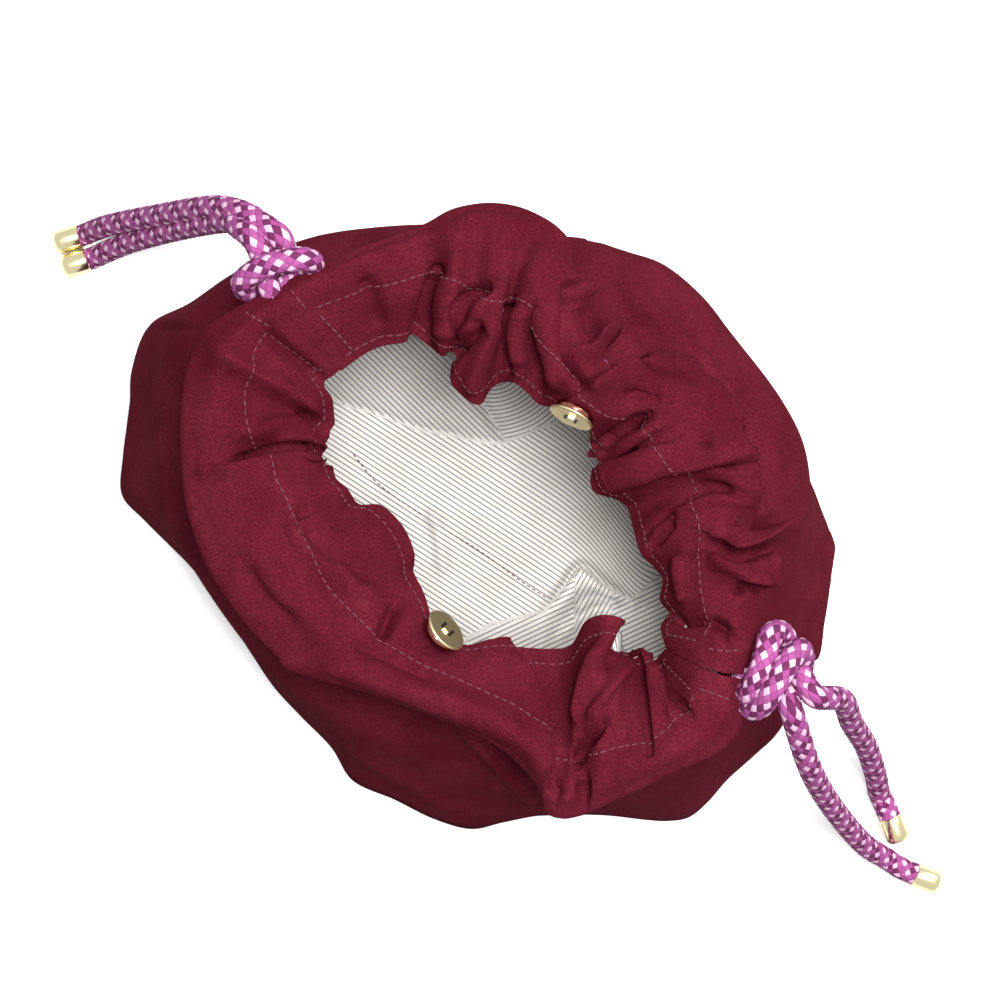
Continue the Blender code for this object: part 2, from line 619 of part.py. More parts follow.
def build():
    for leftover in list(bpy.data.objects):
        bpy.data.objects.remove(leftover, do_unlink=True)
    suede = material("wine_suede", (0.19, 0.019, 0.037), 0.92)
    cotton = material("striped_cotton", (0.80, 0.78, 0.72), 0.85)
    braid = material("braided_cord", (0.42, 0.13, 0.33), 0.6)
    gold = material("gold_plated_zinc", (0.83, 0.66, 0.36), 0.18, 1.0)
    dark = material("polished_magnet_dish", (0.35, 0.10, 0.05), 0.2, 1.0)

    back = half_rings(BACK_STATIONS, BULGE_BACK, FOOT_BACK, LINING_FOOT_BACK)
    front = half_rings(FRONT_STATIONS, BULGE_FRONT, FOOT_FRONT, LINING_FOOT_FRONT)
    back_grid = suede_grid(back, 1)
    front_grid = suede_grid(front, -1)
    for grid in (back_grid, front_grid):
        wall = slice(WALL_FIRST_ROW, WALL_LAST_ROW)
        grid[wall] = stand_out(grid, grid_normals(grid))[wall]
    back_normals, front_normals = grid_normals(back_grid), grid_normals(front_grid)
    share_end_normals(back_normals, front_normals)
    shell("back_panel", back_grid, back_normals, SUEDE_THICKNESS, suede)
    shell("front_panel", front_grid, front_normals, SUEDE_THICKNESS, suede)

    back_lining = lining_grid(back, back_grid, back_normals, 1)
    front_lining = lining_grid(front, front_grid, front_normals, -1)
    back_faces, front_faces = grid_normals(back_lining), grid_normals(front_lining)
    share_end_normals(back_faces, front_faces)
    shell("back_lining", back_lining, back_faces, LINING_THICKNESS, cotton)
    shell("front_lining", front_lining, front_faces, LINING_THICKNESS, cotton)

    channel_run("back_drawcord", back, braid)
    channel_run("front_drawcord", front, braid)
    for name, (centre, turn) in KNOTS.items():
        knot(name, centre, turn, braid)
    for name, route in TAILS.items():
        cord_end(name, route, braid, gold)
    snap_half("back", back_grid, back_normals, BACK_SNAP_SEAT, gold, dark)
    snap_half("front", front_grid, front_normals, FRONT_SNAP_SEAT, gold, dark)


build()
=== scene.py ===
"""Kinchaku drawstring pouch, seen from straight above: gathered suede, striped lining, braided cords.

The soft pieces are drawn finely here over the fixed part: two suede panels with their small folds,
the lining, the stitching, and four cord ends with their knots. The outlines and folds were read
off the photograph, in its pixels, and `at_picture` places them in the bag's frame.
"""

import math

import bpy
import numpy as np
from mathutils import Matrix, Vector


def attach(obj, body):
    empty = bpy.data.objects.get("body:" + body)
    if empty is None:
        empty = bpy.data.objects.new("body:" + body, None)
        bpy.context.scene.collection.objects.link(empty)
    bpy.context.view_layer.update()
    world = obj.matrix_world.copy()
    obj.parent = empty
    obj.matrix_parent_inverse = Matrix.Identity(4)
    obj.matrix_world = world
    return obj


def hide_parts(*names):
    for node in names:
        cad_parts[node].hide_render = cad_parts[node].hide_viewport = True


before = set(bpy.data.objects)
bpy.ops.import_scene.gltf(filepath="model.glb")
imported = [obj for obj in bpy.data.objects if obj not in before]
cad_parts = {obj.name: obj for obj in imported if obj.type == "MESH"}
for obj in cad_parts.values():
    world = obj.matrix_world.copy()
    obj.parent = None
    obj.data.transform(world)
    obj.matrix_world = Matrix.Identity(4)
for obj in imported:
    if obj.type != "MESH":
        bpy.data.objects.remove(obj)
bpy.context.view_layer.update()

# The camera: straight down over the bag, turned so that the bag lies across the picture
CAMERA_PLACE = np.array([0.0033, 0.0096, 1.250])
FOCAL_PIXELS = 2885.0
CAMERA_TURN = math.radians(40)
RIGHT = np.array([math.cos(CAMERA_TURN), math.sin(CAMERA_TURN), 0.0])
UP = np.array([-math.sin(CAMERA_TURN), math.cos(CAMERA_TURN), 0.0])
SENSOR = 36.0
PICTURE = 1000
MIDDLE = PICTURE / 2

# The braided cord, in metres but for its count of strands
CORD = 0.0095
BRAID_PITCH = 0.0270
BRAID_STRANDS = 8
BRAID_RING_STEP = 0.00055
# How far the hidden cord lies under the channel, and how far the suede's folds stay off it
CORD_DEPTH, CORD_CLEARANCE = 0.007, 0.0010

# The suede, in metres: its thickness, its height over the floor, and how far the slits' edges close
SUEDE, SUEDE_REST, SLIT_CLOSING = 0.0014, 0.0002, 0.0009
# How far its soft stretches puff up, and the groove under the channel: how deep and how far down
PUFF, TUCK_IN, TUCK_DROP = 0.002, 0.0105, 0.018
# Where the wall turns in to the bottom
HEEL_HEIGHT, HEEL_ROUND = 0.010, 0.0025

# The lining, in metres: how far it lies behind the suede, below it at the rim, and lower further out
LINING_BEHIND, LINING_BELOW, LINING_DROP = 0.0012, 0.0022, 0.0030
# Heights over the floor: where it hangs free, the end of its wall, its heel, its edge and its flat
LINING_HANG, LINING_WALL, LINING_HEEL, LINING_EDGE, LINING_REST = 0.119, 0.06, 0.0065, 0.0022, 0.0021
# The least height of a crease, the height of the seam's thread, and the most that slack cloth rises
LINING_LEAST, SEAM_HEIGHT, MOST_SLACK = 0.0019, 0.0035, 0.028
# How far it hangs in from the header, and in from the wall
LINING_IN, LINING_WALL_IN = 0.003, 0.010
STRIPE_PITCH = 0.0019

# The studio, in metres: half the table's width, and a lamp's
TABLE, SOFTBOX = 4, 0.6

# Each station is a line across the gathered band, with its point on the rim, on the channel's
# stitching, on the crest over the cord and on the channel's outer edge. Ridges and valleys of the
# gathers are stations, and the rim is high on a ridge and low in a valley.
BACK_STATIONS = [
    ((-76, 9, 130), (-102, 11.7, 146), (-110, 13.2, 149), (-115, 14, 141)),
    ((-73, 20, 131), (-96, 24, 147), (-106, 26, 151), (-114, 24, 140)),
    ((-69, 27, 131), (-88, 37, 147), (-100, 40, 151), (-106, 36, 140)),
    ((-64, 33, 130), (-81, 47, 146), (-93, 52, 150), (-100, 49, 140)),
    ((-61, 37, 125), (-74, 58, 143), (-87, 62, 149), (-93, 61, 140)),
    ((-56, 38, 121), (-70, 61, 138), (-82, 69, 147), (-87, 72, 139)),
    ((-50, 38, 134), (-64, 63, 149), (-77, 78, 151), (-83, 82, 141)),
    ((-47, 40, 122), (-56, 64, 142), (-72, 87, 150), (-78, 89, 141)),
    ((-40, 32, 128), (-50, 65, 148), (-66, 91, 150), (-72, 95, 141)),
    ((-28, 33, 125), (-45, 68, 147), (-60, 94, 150), (-64, 100, 141)),
    ((-27, 43, 118), (-44, 71, 140), (-53, 95, 149), (-55, 103, 141)),
    ((-21, 48, 132), (-39, 74, 147), (-45, 95, 151), (-46, 104, 141)),
    ((-9, 48, 124), (-30, 73, 144), (-36, 91, 150), (-38, 102, 139)),
    ((-4, 50, 130), (-19, 68, 150), (-25, 82, 149), (-28, 93, 134)),
    ((6, 52, 130), (-6, 62, 150), (-12, 72, 147), (-15, 83, 133)),
    ((13, 52, 134), (11, 60, 149), (5, 70, 151), (0, 80, 138)),
    ((17, 47, 124), (22, 65, 146), (18, 77, 151), (12, 82, 141)),
    ((19, 45, 130), (30, 66, 148), (31, 81, 151), (25, 90, 141)),
    ((22, 44, 120), (36, 63, 144), (43, 82, 150), (39, 93, 141)),
    ((28, 37, 134), (43, 61, 149), (56, 79, 150), (57, 90, 141)),
    ((36, 38, 128), (51, 61, 147), (65, 76, 149), (69, 84, 140)),
    ((44, 39, 116), (57, 61, 138), (70, 71, 145), (77, 78, 138)),
    ((51, 34, 122), (62, 56, 144), (73, 64, 146), (81, 70, 135)),
    ((58, 29, 130), (68, 51, 148), (81, 60, 149), (89, 68, 138)),
    ((67, 28, 124), (73, 45, 145), (88, 56, 148), (97, 66, 139)),
    ((72, 26, 130), (78, 39, 148), (93, 52, 150), (103, 61, 139)),
    ((76, 20, 122), (84, 33, 145), (96, 44, 147), (105, 50, 137)),
    ((82, 18, 118), (90, 28, 146), (99, 36, 149), (106, 42, 138)),
    ((83, 12, 126), (96, 21, 147), (104, 28, 150), (111, 35, 140)),
    ((89, 7.4, 127), (102, 10.9, 147), (110.5, 14.6, 149), (117, 19.5, 141)),
]
FRONT_STATIONS = [
    ((90, 5.8, 124), (103.2, 9.2, 146), (112.4, 12.4, 149), (119.5, 16.5, 141)),
    ((90, 1, 118), (109, -3, 146), (121, 1, 150), (130, 3, 140)),
    ((86, 1, 124), (109, -13, 146), (120, -11, 150), (130, -10, 140)),
    ((83, 0, 130), (107, -22, 148), (116, -22, 151), (124, -23, 140)),
    ((81, -2, 118), (104, -28, 143), (112, -31, 149), (119, -34, 139)),
    ((77, 0, 116), (100, -32, 148), (108, -37, 151), (115, -43, 140)),
    ((71, 5, 132), (97, -36, 148), (105, -44, 150), (111, -51, 139)),
    ((63, 2, 138), (94, -41, 147), (102, -50, 150), (108, -58, 139)),
    ((59, -5, 130), (91, -45, 141), (98, -55, 146), (105, -64, 137)),
    ((61, -16, 120), (88, -49, 142), (96, -61, 150), (100, -69, 139)),
    ((56, -22, 116), (83, -51, 141), (89, -62, 146), (94, -71, 138)),
    ((49, -26, 126), (70, -47, 149), (80, -57, 151), (86, -65, 139)),
    ((41, -29, 132), (58, -47, 149), (67, -55, 151), (72, -63, 140)),
    ((35, -34, 134), (47, -50, 148), (54, -57, 151), (58, -64, 140)),
    ((29, -42, 132), (36, -53, 148), (41, -60, 151), (45, -67, 140)),
    ((18, -45, 131), (21, -57, 147), (26, -65, 151), (30, -72, 140)),
    ((4, -37, 132), (4, -60, 147), (10, -69, 151), (14, -78, 140)),
    ((-5, -33, 128), (-10, -60, 147), (-6, -72, 151), (-3, -86, 140)),
    ((-9, -28, 117), (-23, -59, 147), (-22, -73, 151), (-18, -91, 139)),
    ((-19, -23, 113), (-34, -56, 147), (-37, -72, 151), (-35, -91, 138)),
    ((-31, -22, 114), (-44, -52, 147), (-49, -69, 150), (-51, -88, 138)),
    ((-38, -27, 122), (-53, -47, 147), (-61, -65, 150), (-66, -83, 138)),
    ((-45, -25, 131), (-61, -42, 147), (-71, -60, 150), (-79, -76, 139)),
    ((-52, -25, 127), (-69, -39, 147), (-81, -54, 150), (-90, -68, 139)),
    ((-58, -22, 119), (-78, -37, 140), (-90, -48, 147), (-100, -58, 138)),
    ((-63, -17, 130), (-87, -32, 148), (-98, -41, 150), (-109, -48, 139)),
    ((-66, -10, 122), (-95, -25, 148), (-105, -32, 150), (-117, -37, 139)),
    ((-71, -3, 127), (-102, -15, 147), (-112, -21, 151), (-123, -25, 139)),
    ((-77, 1, 130), (-106, -3, 147), (-115, -6, 151), (-125, -9, 139)),
    ((-77, 7.6, 130), (-103, 10.2, 146), (-111, 11.6, 149), (-117, 12, 141)),
]

# Outlines of the wall at its fullest and at the foot, each from one side seam to the other
BULGE_HEIGHT = 75
BULGE_BACK = [
    (-125, -48), (-137, -30), (-140, -5), (-135, 20), (-122, 45), (-100, 69), (-78, 87), (-53, 102),
    (-38, 113), (-17, 122), (-1, 127), (13, 126), (37, 121), (59, 116), (80, 108), (93, 97), (104, 83),
    (115, 65), (126, 45), (133, 31), (137, 21),
]
BULGE_FRONT = [
    (137, 21), (139, 1), (134, -26), (115, -51), (90, -69), (64, -83), (38, -95), (15, -102),
    (-12, -105), (-40, -101), (-66, -94), (-92, -83), (-111, -68), (-125, -48),
]
FOOT_BACK = [
    (-146, -60), (-154, -49), (-160, -31), (-153, -12), (-145, 14), (-130, 41), (-101, 67), (-60, 95),
    (-20, 112), (19, 118), (59, 114), (92, 104), (115, 92), (126, 83), (133, 76), (147, 51),
    (156, 28),
]
FOOT_FRONT = [
    (156, 28), (159, 11), (155, -20), (151, -44), (122, -66), (100, -85), (81, -107), (52, -116),
    (35, -122), (14, -117), (-18, -114), (-50, -105), (-77, -98), (-124, -92), (-134, -78), (-146, -60),
]

# What all the folds' heights are multiplied by, and the points that a fold's line is read at
FOLD_STRENGTH, FOLD_POINTS = 2.1, 60

# Folds of the suede as seen in the picture: how far the suede stands out along the fold (negative
# for a valley), the height of a step across it (the left side of its direction is the high one),
# both in millimetres, its half width in pixels, and the points along it
TOP_FOLDS = [
    (0, -4, 8, [(700, 380), (722, 390), (736, 415), (741, 441), (755, 460), (760, 485)]),
    (-5, 0, 6, [(437, 272), (431, 295), (420, 330), (416, 342)]),
    (2, 0, 8, [(452, 269), (444, 302), (444, 346)]),
    (-4, 0, 6, [(495, 282), (475, 296), (462, 305), (447, 322)]),
    (-5, 0, 4, [(480, 323), (480, 333), (464, 346), (452, 356)]),
    (2, 0, 6, [(487, 290), (482, 308), (471, 331), (458, 343)]),
    (2.5, 0, 8, [(495, 313), (481, 353), (472, 379), (475, 400)]),
    (-6, 0, 3.5, [(512, 300), (505, 325), (505, 343), (508, 372)]),
    (2, 0, 7, [(522, 302), (517, 333), (521, 371)]),
    (-2, 0, 8, [(533, 325), (541, 353), (545, 378)]),
    (3, 0, 12, [(533, 277), (546, 323), (556, 369), (570, 396)]),
    (-4, 0, 7, [(566, 290), (568, 320), (566, 352), (577, 380)]),
    (5, -3, 7, [(572, 277), (591, 300), (602, 322), (604, 338), (594, 352), (580, 352)]),
    (-2, 0, 8, [(578, 305), (588, 322), (590, 337)]),
    (-5, 0, 6, [(568, 358), (572, 372), (584, 388)]),
    (3, -3, 9, [(577, 394), (592, 384), (615, 376), (650, 372), (684, 377), (707, 387)]),
    (-3, 0, 10, [(620, 400), (640, 392), (665, 392)]),
    (-5, 0, 5, [(648, 415), (626, 428), (607, 442), (593, 448)]),
    (2, 0, 5, [(656, 426), (632, 439), (609, 450), (589, 455)]),
    (-6, 0, 3.5, [(633, 450), (618, 458), (601, 462), (589, 461)]),
    (3, 0, 11, [(683, 441), (642, 466), (611, 476), (593, 487)]),
    (-3, -3, 5, [(758, 461), (724, 468), (695, 475), (662, 480), (626, 491)]),
    (-2, 0, 7, [(703, 441), (704, 450)]),
    (-3, 0, 4, [(742, 494), (720, 490), (695, 494), (671, 511), (648, 531)]),
    (2.5, 0, 7, [(744, 503), (713, 503), (687, 514), (662, 535), (653, 551)]),
    (-5, 0, 4, [(678, 520), (662, 537), (651, 551)]),
    (-6, 0, 7, [(735, 520), (752, 524), (768, 523), (784, 519)]),
    (4, -3, 8, [(806, 500), (795, 523), (771, 539), (744, 542), (718, 535)]),
    (-4, 0, 6, [(711, 548), (734, 553), (764, 548), (785, 545)]),
    (3, 0, 7, [(703, 556), (744, 571), (775, 580)]),
    (-5, 0, 4, [(738, 590), (750, 585), (765, 590)]),
    (2, 0, 7, [(683, 549), (681, 574), (687, 605)]),
    (-4, 0, 6, [(703, 623), (720, 627), (737, 643)]),
    (-3, 0, 4, [(671, 615), (683, 621), (699, 622)]),
    (-4, 4, 5, [(553, 790), (550, 751), (550, 726), (546, 698), (533, 667), (515, 639)]),
    (-6, 0, 4, [(607, 722), (592, 736), (584, 745), (577, 764)]),
    (-5, 0, 4, [(583, 775), (584, 804)]),
    (3, 0, 7, [(608, 636), (596, 665), (584, 703), (577, 735)]),
    (-6, 0, 6, [(629, 631), (620, 652), (606, 668)]),
    (2, 0, 5, [(635, 652), (618, 675), (601, 703), (589, 726)]),
    (-5, 0, 3.5, [(640, 655), (641, 688), (645, 726), (648, 752)]),
    (2, 0, 6, [(648, 657), (657, 688), (669, 713), (678, 725)]),
    (-3, 0, 4, [(654, 662), (667, 688), (690, 714)]),
    (3, 0, 12, [(289, 664), (337, 665), (376, 676), (447, 702), (490, 719), (517, 733), (546, 760)]),
    (3, 0, 11, [(212, 341), (232, 359), (253, 373), (283, 388), (304, 400), (326, 421)]),
    (-3, 0, 7, [(267, 325), (277, 341), (294, 357), (314, 374), (327, 385)]),
    (-6, 0, 5, [(300, 411), (312, 425), (325, 442)]),
    (2, 0, 8, [(250, 433), (283, 423), (308, 431), (325, 443)]),
    (-7, 0, 5, [(226, 464), (257, 458), (283, 452), (314, 451), (327, 461)]),
    (3, 0, 8, [(205, 470), (235, 470), (273, 467), (310, 459), (328, 471)]),
    (2, 0, 8, [(290, 500), (292, 524), (306, 552), (336, 580), (362, 612)]),
    (-3, 0, 9, [(302, 518), (310, 534)]),
    (-4, 0, 6, [(398, 600), (389, 620), (380, 640)]),
    (2, 0, 9, [(330, 560), (350, 585), (378, 600)]),
    (-2, 0, 10, [(345, 640), (390, 658), (440, 684)]),
    (-2, 0, 9, [(240, 560), (262, 600), (300, 632)]),
    (-2, 0, 10, [(360, 275), (372, 300), (380, 335)]),
]
WALL_FOLDS = [
    (4, -1.5, 9, [(600, 254), (612, 268), (642, 302), (683, 343), (709, 370), (724, 394), (738, 421)]),
    (-4, 0, 12, [(590, 262), (625, 305), (660, 345), (690, 375)]),
    (4, 0, 8, [(826, 521), (820, 560), (812, 620), (807, 676)]),
    (-3, 0, 5, [(834, 575), (826, 610), (815, 660)]),
    (4, 0, 9, [(447, 704), (489, 747), (531, 791), (548, 806)]),
    (2, 0, 6, [(464, 815), (432, 795), (378, 763), (340, 738)]),
    (-2, 0, 3, [(150, 327), (172, 326), (198, 328)]),
    (2, 0, 8, [(806, 500), (800, 512), (787, 535)]),
]


def at_picture(px, py, height):
    """The point in the bag's frame, in metres, that the picture shows at a pixel at some height."""
    reach = (CAMERA_PLACE[2] - height) / FOCAL_PIXELS
    across, up = RIGHT * (px - MIDDLE) * reach, UP * (MIDDLE - py) * reach
    return CAMERA_PLACE * (1, 1, 0) + across + up + (0, 0, height)


def in_picture(points):
    """Where the picture shows points of the bag's frame, in pixels."""
    away = points - CAMERA_PLACE
    scale = FOCAL_PIXELS / -away[..., 2]
    return np.stack([MIDDLE + away @ RIGHT * scale, MIDDLE - away @ UP * scale], axis=-1)


def fine(values, places):
    """A smooth curve through rows of values, read at places counted in rows."""
    values = np.asarray(values, float)
    slopes = np.gradient(values, axis=0)
    low = np.clip(places.astype(int), 0, len(values) - 2)
    part = (places - low).reshape(-1, *[1] * (values.ndim - 1))
    start = 2 * part**3 - 3 * part**2 + 1
    leave = part**3 - 2 * part**2 + part
    arrive = part**3 - part**2
    along = start * values[low] + (1 - start) * values[low + 1]
    return along + leave * slopes[low] + arrive * slopes[low + 1]


def run_along(points):
    """How far along a line each of its points lies, from its first."""
    return np.concatenate([[0], np.cumsum(np.linalg.norm(np.diff(points, axis=0), axis=1))])


def smooth_line(points, count):
    """Evenly spaced points along a smooth curve through all the points."""
    rough = fine(points, np.linspace(0, len(points) - 1, 12 * count))
    run = run_along(rough)
    even = np.linspace(0, run[-1], count)
    return np.column_stack([np.interp(even, run, rough[:, axis]) for axis in range(rough.shape[1])])


def shares_along(points):
    """What share of a line's length lies before each of its points."""
    run = run_along(points)
    return run / run[-1]


def grid_normals(grid):
    """Which way the surface faces at each point of a grid."""
    normals = np.cross(np.gradient(grid, axis=1), np.gradient(grid, axis=0))
    size = np.linalg.norm(normals, axis=2, keepdims=True)
    return normals / np.maximum(size, 1e-12)


def level(points, height):
    """The same points, all at one height."""
    moved = points.copy()
    moved[..., 2] = height
    return moved


def drawn_in(ring, distance):
    """The same ring, moved that far towards the bag's middle."""
    moved = ring.copy()
    moved[:, :2] *= 1 - distance / np.linalg.norm(ring[:, :2], axis=1, keepdims=True)
    return moved


def mix(first, second, share):
    return first + (second - first) * share


# Rows of a panel counted as stations' rows, from the rim at 0 to the foot at 12 and the seam at 15
HEM, STITCHING, CREST, OUTER, TUCK = 0.38, 3, 5, 7, 8
# A panel's columns, and how many lie between two points of the hidden cord
COLUMNS, CORD_STEP = 470, 24
ROWS = np.concatenate([
    np.linspace(0, 3, 42, endpoint=False),
    np.linspace(3, 8, 46, endpoint=False),
    np.linspace(8, 9.4, 22, endpoint=False),
    np.linspace(9.4, 12, 14, endpoint=False),
    np.linspace(12, 15, 8),
])


def row_at(place):
    """The first of a panel's fine rows at a place counted in stations' rows."""
    return int(np.searchsorted(ROWS, place))


def outline(points, height, shares):
    """A half outline, in millimetres, read at shares of its length."""
    line = smooth_line(np.array([(x, y, height) for x, y in points]) / 1000, 300)
    run = shares_along(line)
    return np.column_stack([np.interp(shares, run, line[:, axis]) for axis in range(3)])


def panel_rows(stations, bulge, foot, side):
    """The coarse rows of one panel, from its rim to the bottom seam."""
    rim, stitch, crest, outer = (np.array([line[k] for line in stations]) / 1000 for k in range(4))
    shares = shares_along(outer[:, :2])
    bulge_ring = outline(bulge, BULGE_HEIGHT, shares)
    foot_ring = outline(foot, 0, shares)
    lift = np.array([0, 0, PUFF])
    tuck = level(drawn_in(outer, TUCK_IN), outer[:, 2].mean() - TUCK_DROP)
    heel = level(foot_ring, HEEL_HEIGHT)
    edge = level(drawn_in(foot_ring, HEEL_ROUND), SUEDE_REST)
    left, right = np.array(FOOT_BACK[0]) / 1000, np.array(FOOT_FRONT[0]) / 1000
    start, end = (left, right) if side > 0 else (right, left)
    middle = mix(start, end, 0.12 + 0.76 * shares[:, None])
    seam = np.column_stack([middle, np.full(len(shares), SUEDE_REST)])
    return np.array([
        rim, mix(rim, stitch, 0.33) + lift, mix(rim, stitch, 0.68) + lift, stitch,
        mix(stitch, crest, 0.5) + lift / 2, crest, mix(crest, outer, 0.55) + lift, outer, tuck,
        mix(tuck, bulge_ring, 0.5) + lift, bulge_ring, mix(bulge_ring, heel, 0.55), heel, edge,
        mix(edge, seam, 0.5), seam,
    ])


def fold_heights(points, folds):
    """How far folds push each point out, in metres, from where the picture shows the point."""
    seen = in_picture(points)
    total = np.zeros(seen.shape[:-1])
    for height, step, width, line in folds:
        path = smooth_line(np.array(line, float), FOLD_POINTS)
        low, high = path.min(0) - 4 * width, path.max(0) + 4 * width
        near = ((seen > low) & (seen < high)).all(axis=-1)
        if not near.any():
            continue
        spot = seen[near]
        gap = spot[:, None, :] - path[None, :, :]
        away = np.linalg.norm(gap, axis=2)
        nearest = away.argmin(axis=1)
        away = away.min(axis=1)
        ahead = np.gradient(path, axis=0)[nearest]
        beside = gap[np.arange(len(spot)), nearest]
        side = np.sign(ahead[:, 0] * beside[:, 1] - ahead[:, 1] * beside[:, 0])
        fade = np.clip(np.sin(np.pi * np.clip(nearest / (FOLD_POINTS - 1), 0.06, 0.94)) * 1.9, 0, 1)
        bell = np.exp(-((away / width) ** 2))
        slope = -side * np.tanh(away / 3) * np.exp(-away / (2 * width))
        total[near] += fade * (height * bell + step * slope) * FOLD_STRENGTH / 1000
    return total


def channel_line(smooth):
    """The drawcord's way inside the channel, under the crest of the suede before it folds."""
    parts = ((STITCHING, 0.4), (CREST, 0.15), (OUTER, 0.2), (TUCK, 0.25))
    line = sum(smooth[row_at(place)] * share for place, share in parts) - (0, 0, CORD_DEPTH)
    line = line[CORD_STEP // 2:-CORD_STEP // 2:CORD_STEP]
    line[1:-1] = (line[:-2] + line[1:-1] + line[2:]) / 3
    return line


def keep_outside(folded, smooth):
    """Holds the folds of the suede clear of the drawcord that they lie over."""
    path = smooth_line(channel_line(smooth), 400)
    forward = np.gradient(path, axis=0)
    forward /= np.linalg.norm(forward, axis=1, keepdims=True)
    clear = CORD / 2 + CORD_CLEARANCE
    for row in range(row_at(STITCHING) + 1, row_at(9.2)):
        nearest = np.linalg.norm(folded[row][:, None] - path[None], axis=2).argmin(axis=1)
        way = smooth[row] - path[nearest]
        way -= forward[nearest] * (way * forward[nearest]).sum(axis=1, keepdims=True)
        way /= np.linalg.norm(way, axis=1, keepdims=True)
        offset = folded[row] - path[nearest]
        out = (offset * way).sum(axis=1, keepdims=True)
        beside = np.linalg.norm(offset - way * out, axis=1, keepdims=True)
        lack = np.sqrt(np.maximum(clear**2 - beside**2, 0)) - out
        folded[row] += way * np.where(beside < clear, np.maximum(lack, 0), 0)


def suede_surface(stations, bulge, foot, side):
    """A panel's folded surface, the lining's top under its header, and the surface before it folds."""
    coarse = panel_rows(stations, bulge, foot, side)
    columns = np.linspace(0, coarse.shape[1] - 1, COLUMNS)
    grid = fine(coarse, ROWS)
    grid = np.swapaxes(fine(np.swapaxes(grid, 0, 1), columns), 0, 1)
    slit = row_at(OUTER)
    for end, inside in ((0, 3), (-1, -4)):
        ahead = grid[:slit, end] - grid[:slit, inside]
        grid[:slit, end] += ahead / np.linalg.norm(ahead, axis=1, keepdims=True) * SLIT_CLOSING
    normals = grid_normals(grid)
    top = np.clip((9.3 - ROWS) / 1.2, 0, 1)[:, None]
    wall = np.clip((ROWS - 7.5) / 0.8, 0, 1)[:, None] * np.clip((12.6 - ROWS) / 0.8, 0, 1)[:, None]
    out = fold_heights(grid, TOP_FOLDS) * top + fold_heights(grid, WALL_FOLDS) * wall * 0.65
    ends = np.minimum(np.arange(COLUMNS), np.arange(COLUMNS)[::-1]) / 12
    out *= np.clip(ends, 0, 1)[None, :]
    folded = grid + normals * out[..., None]
    keep_outside(folded, grid)
    folded[..., 2] = np.maximum(folded[..., 2], SUEDE_REST)
    header = row_at(STITCHING) + 1
    deepest = lowest_near(out, 8, 5)[:header]
    close = np.clip(np.arange(header) / 4, 0, 1)[:, None]
    under = grid[:header].copy()
    deepest = np.minimum(deepest, 0)
    under += normals[:header] * (deepest * (1 - close) - LINING_BEHIND)[..., None]
    under[..., 2] += deepest * close - LINING_BELOW - LINING_DROP * close
    place = np.linspace(7, COLUMNS - 8, COLUMNS)
    before = place.astype(int)
    part = (place - before)[None, :, None]
    under = under[:, before] * (1 - part) + under[:, before + 1] * part
    return folded, under, grid


def lowest_near(values, columns, rows):
    """Each value's lowest neighbour within some columns and rows."""
    for axis, most in ((1, columns), (0, rows)):
        values = np.min([np.roll(values, shift, axis=axis) for shift in range(-most, most + 1)], axis=0)
    return values


def mesh_object(name, vertices, faces, finish, smooth=True):
    """A new object made of these vertices and faces, in one finish."""
    mesh = bpy.data.meshes.new(name)
    mesh.from_pydata([tuple(v) for v in vertices], [], faces)
    mesh.materials.append(finish)
    if smooth:
        mesh.polygons.foreach_set("use_smooth", [True] * len(mesh.polygons))
    mesh.update()
    made = bpy.data.objects.new(name, mesh)
    bpy.context.scene.collection.objects.link(made)
    return made


def quads(rows, columns, first=0, turned=False):
    """The four-sided faces of a grid, whose vertices are counted on from the first."""
    corner = first + np.arange(rows * columns).reshape(rows, columns)
    faces = np.stack([corner[:-1, :-1], corner[:-1, 1:], corner[1:, 1:], corner[1:, :-1]], axis=-1)
    faces = faces.reshape(-1, 4)
    return (faces[:, ::-1] if turned else faces).tolist()


def panel(name, grid, finish):
    """The suede's outer face with its cut edge and a strip of its inner face along the rim and slits."""
    normals = grid_normals(grid)
    inner = grid - normals * SUEDE
    rows, columns = grid.shape[:2]
    vertices = [grid.reshape(-1, 3)]
    faces = quads(rows, columns)
    count = rows * columns
    hem = np.stack([grid[0], inner[0], inner[3], inner[7]])
    slit = row_at(OUTER + 0.5)
    start = np.stack([grid[:slit, 0], inner[:slit, 0], inner[:slit, 4]])
    end = np.stack([grid[:slit, -1], inner[:slit, -1], inner[:slit, -5]])
    for strip, turned in ((hem, True), (start, False), (end, True)):
        vertices.append(strip.reshape(-1, 3))
        faces += quads(*strip.shape[:2], first=count, turned=turned)
        count += strip.shape[0] * strip.shape[1]
    return mesh_object(name, np.concatenate(vertices), faces, finish)


def lining_surface(under, bulge, foot_line, seam):
    """The lining's outer face: along the header it follows the suede, then it hangs to the floor."""
    shares = shares_along(under[-1, :, :2])
    low = outline(foot_line, LINING_HEEL, shares)
    edge = outline(foot_line, LINING_EDGE, shares)
    hang = level(drawn_in(under[-1], LINING_IN), LINING_HANG)
    drop = mix(hang, drawn_in(outline(bulge, BULGE_HEIGHT, shares), LINING_WALL_IN), 0.45)
    lower = mix(drop, low, 0.5)
    left, right = seam
    line = mix(np.array(left), np.array(right), shares[:, None])
    line = np.column_stack([line, np.full(len(line), LINING_REST)])
    coarse = np.array([under[-1], hang, drop, lower, low, edge, mix(edge, line, 0.5), line])
    places = np.concatenate([
        np.linspace(0.1, 4, 44, endpoint=False), np.linspace(4, 5, 6, endpoint=False), np.linspace(5, 7, 70),
    ])
    hanging = fine(coarse, places)
    hanging[places >= 4.5, :, 2] = np.maximum(hanging[places >= 4.5, :, 2], LINING_REST)
    return np.concatenate([under[1:], hanging])


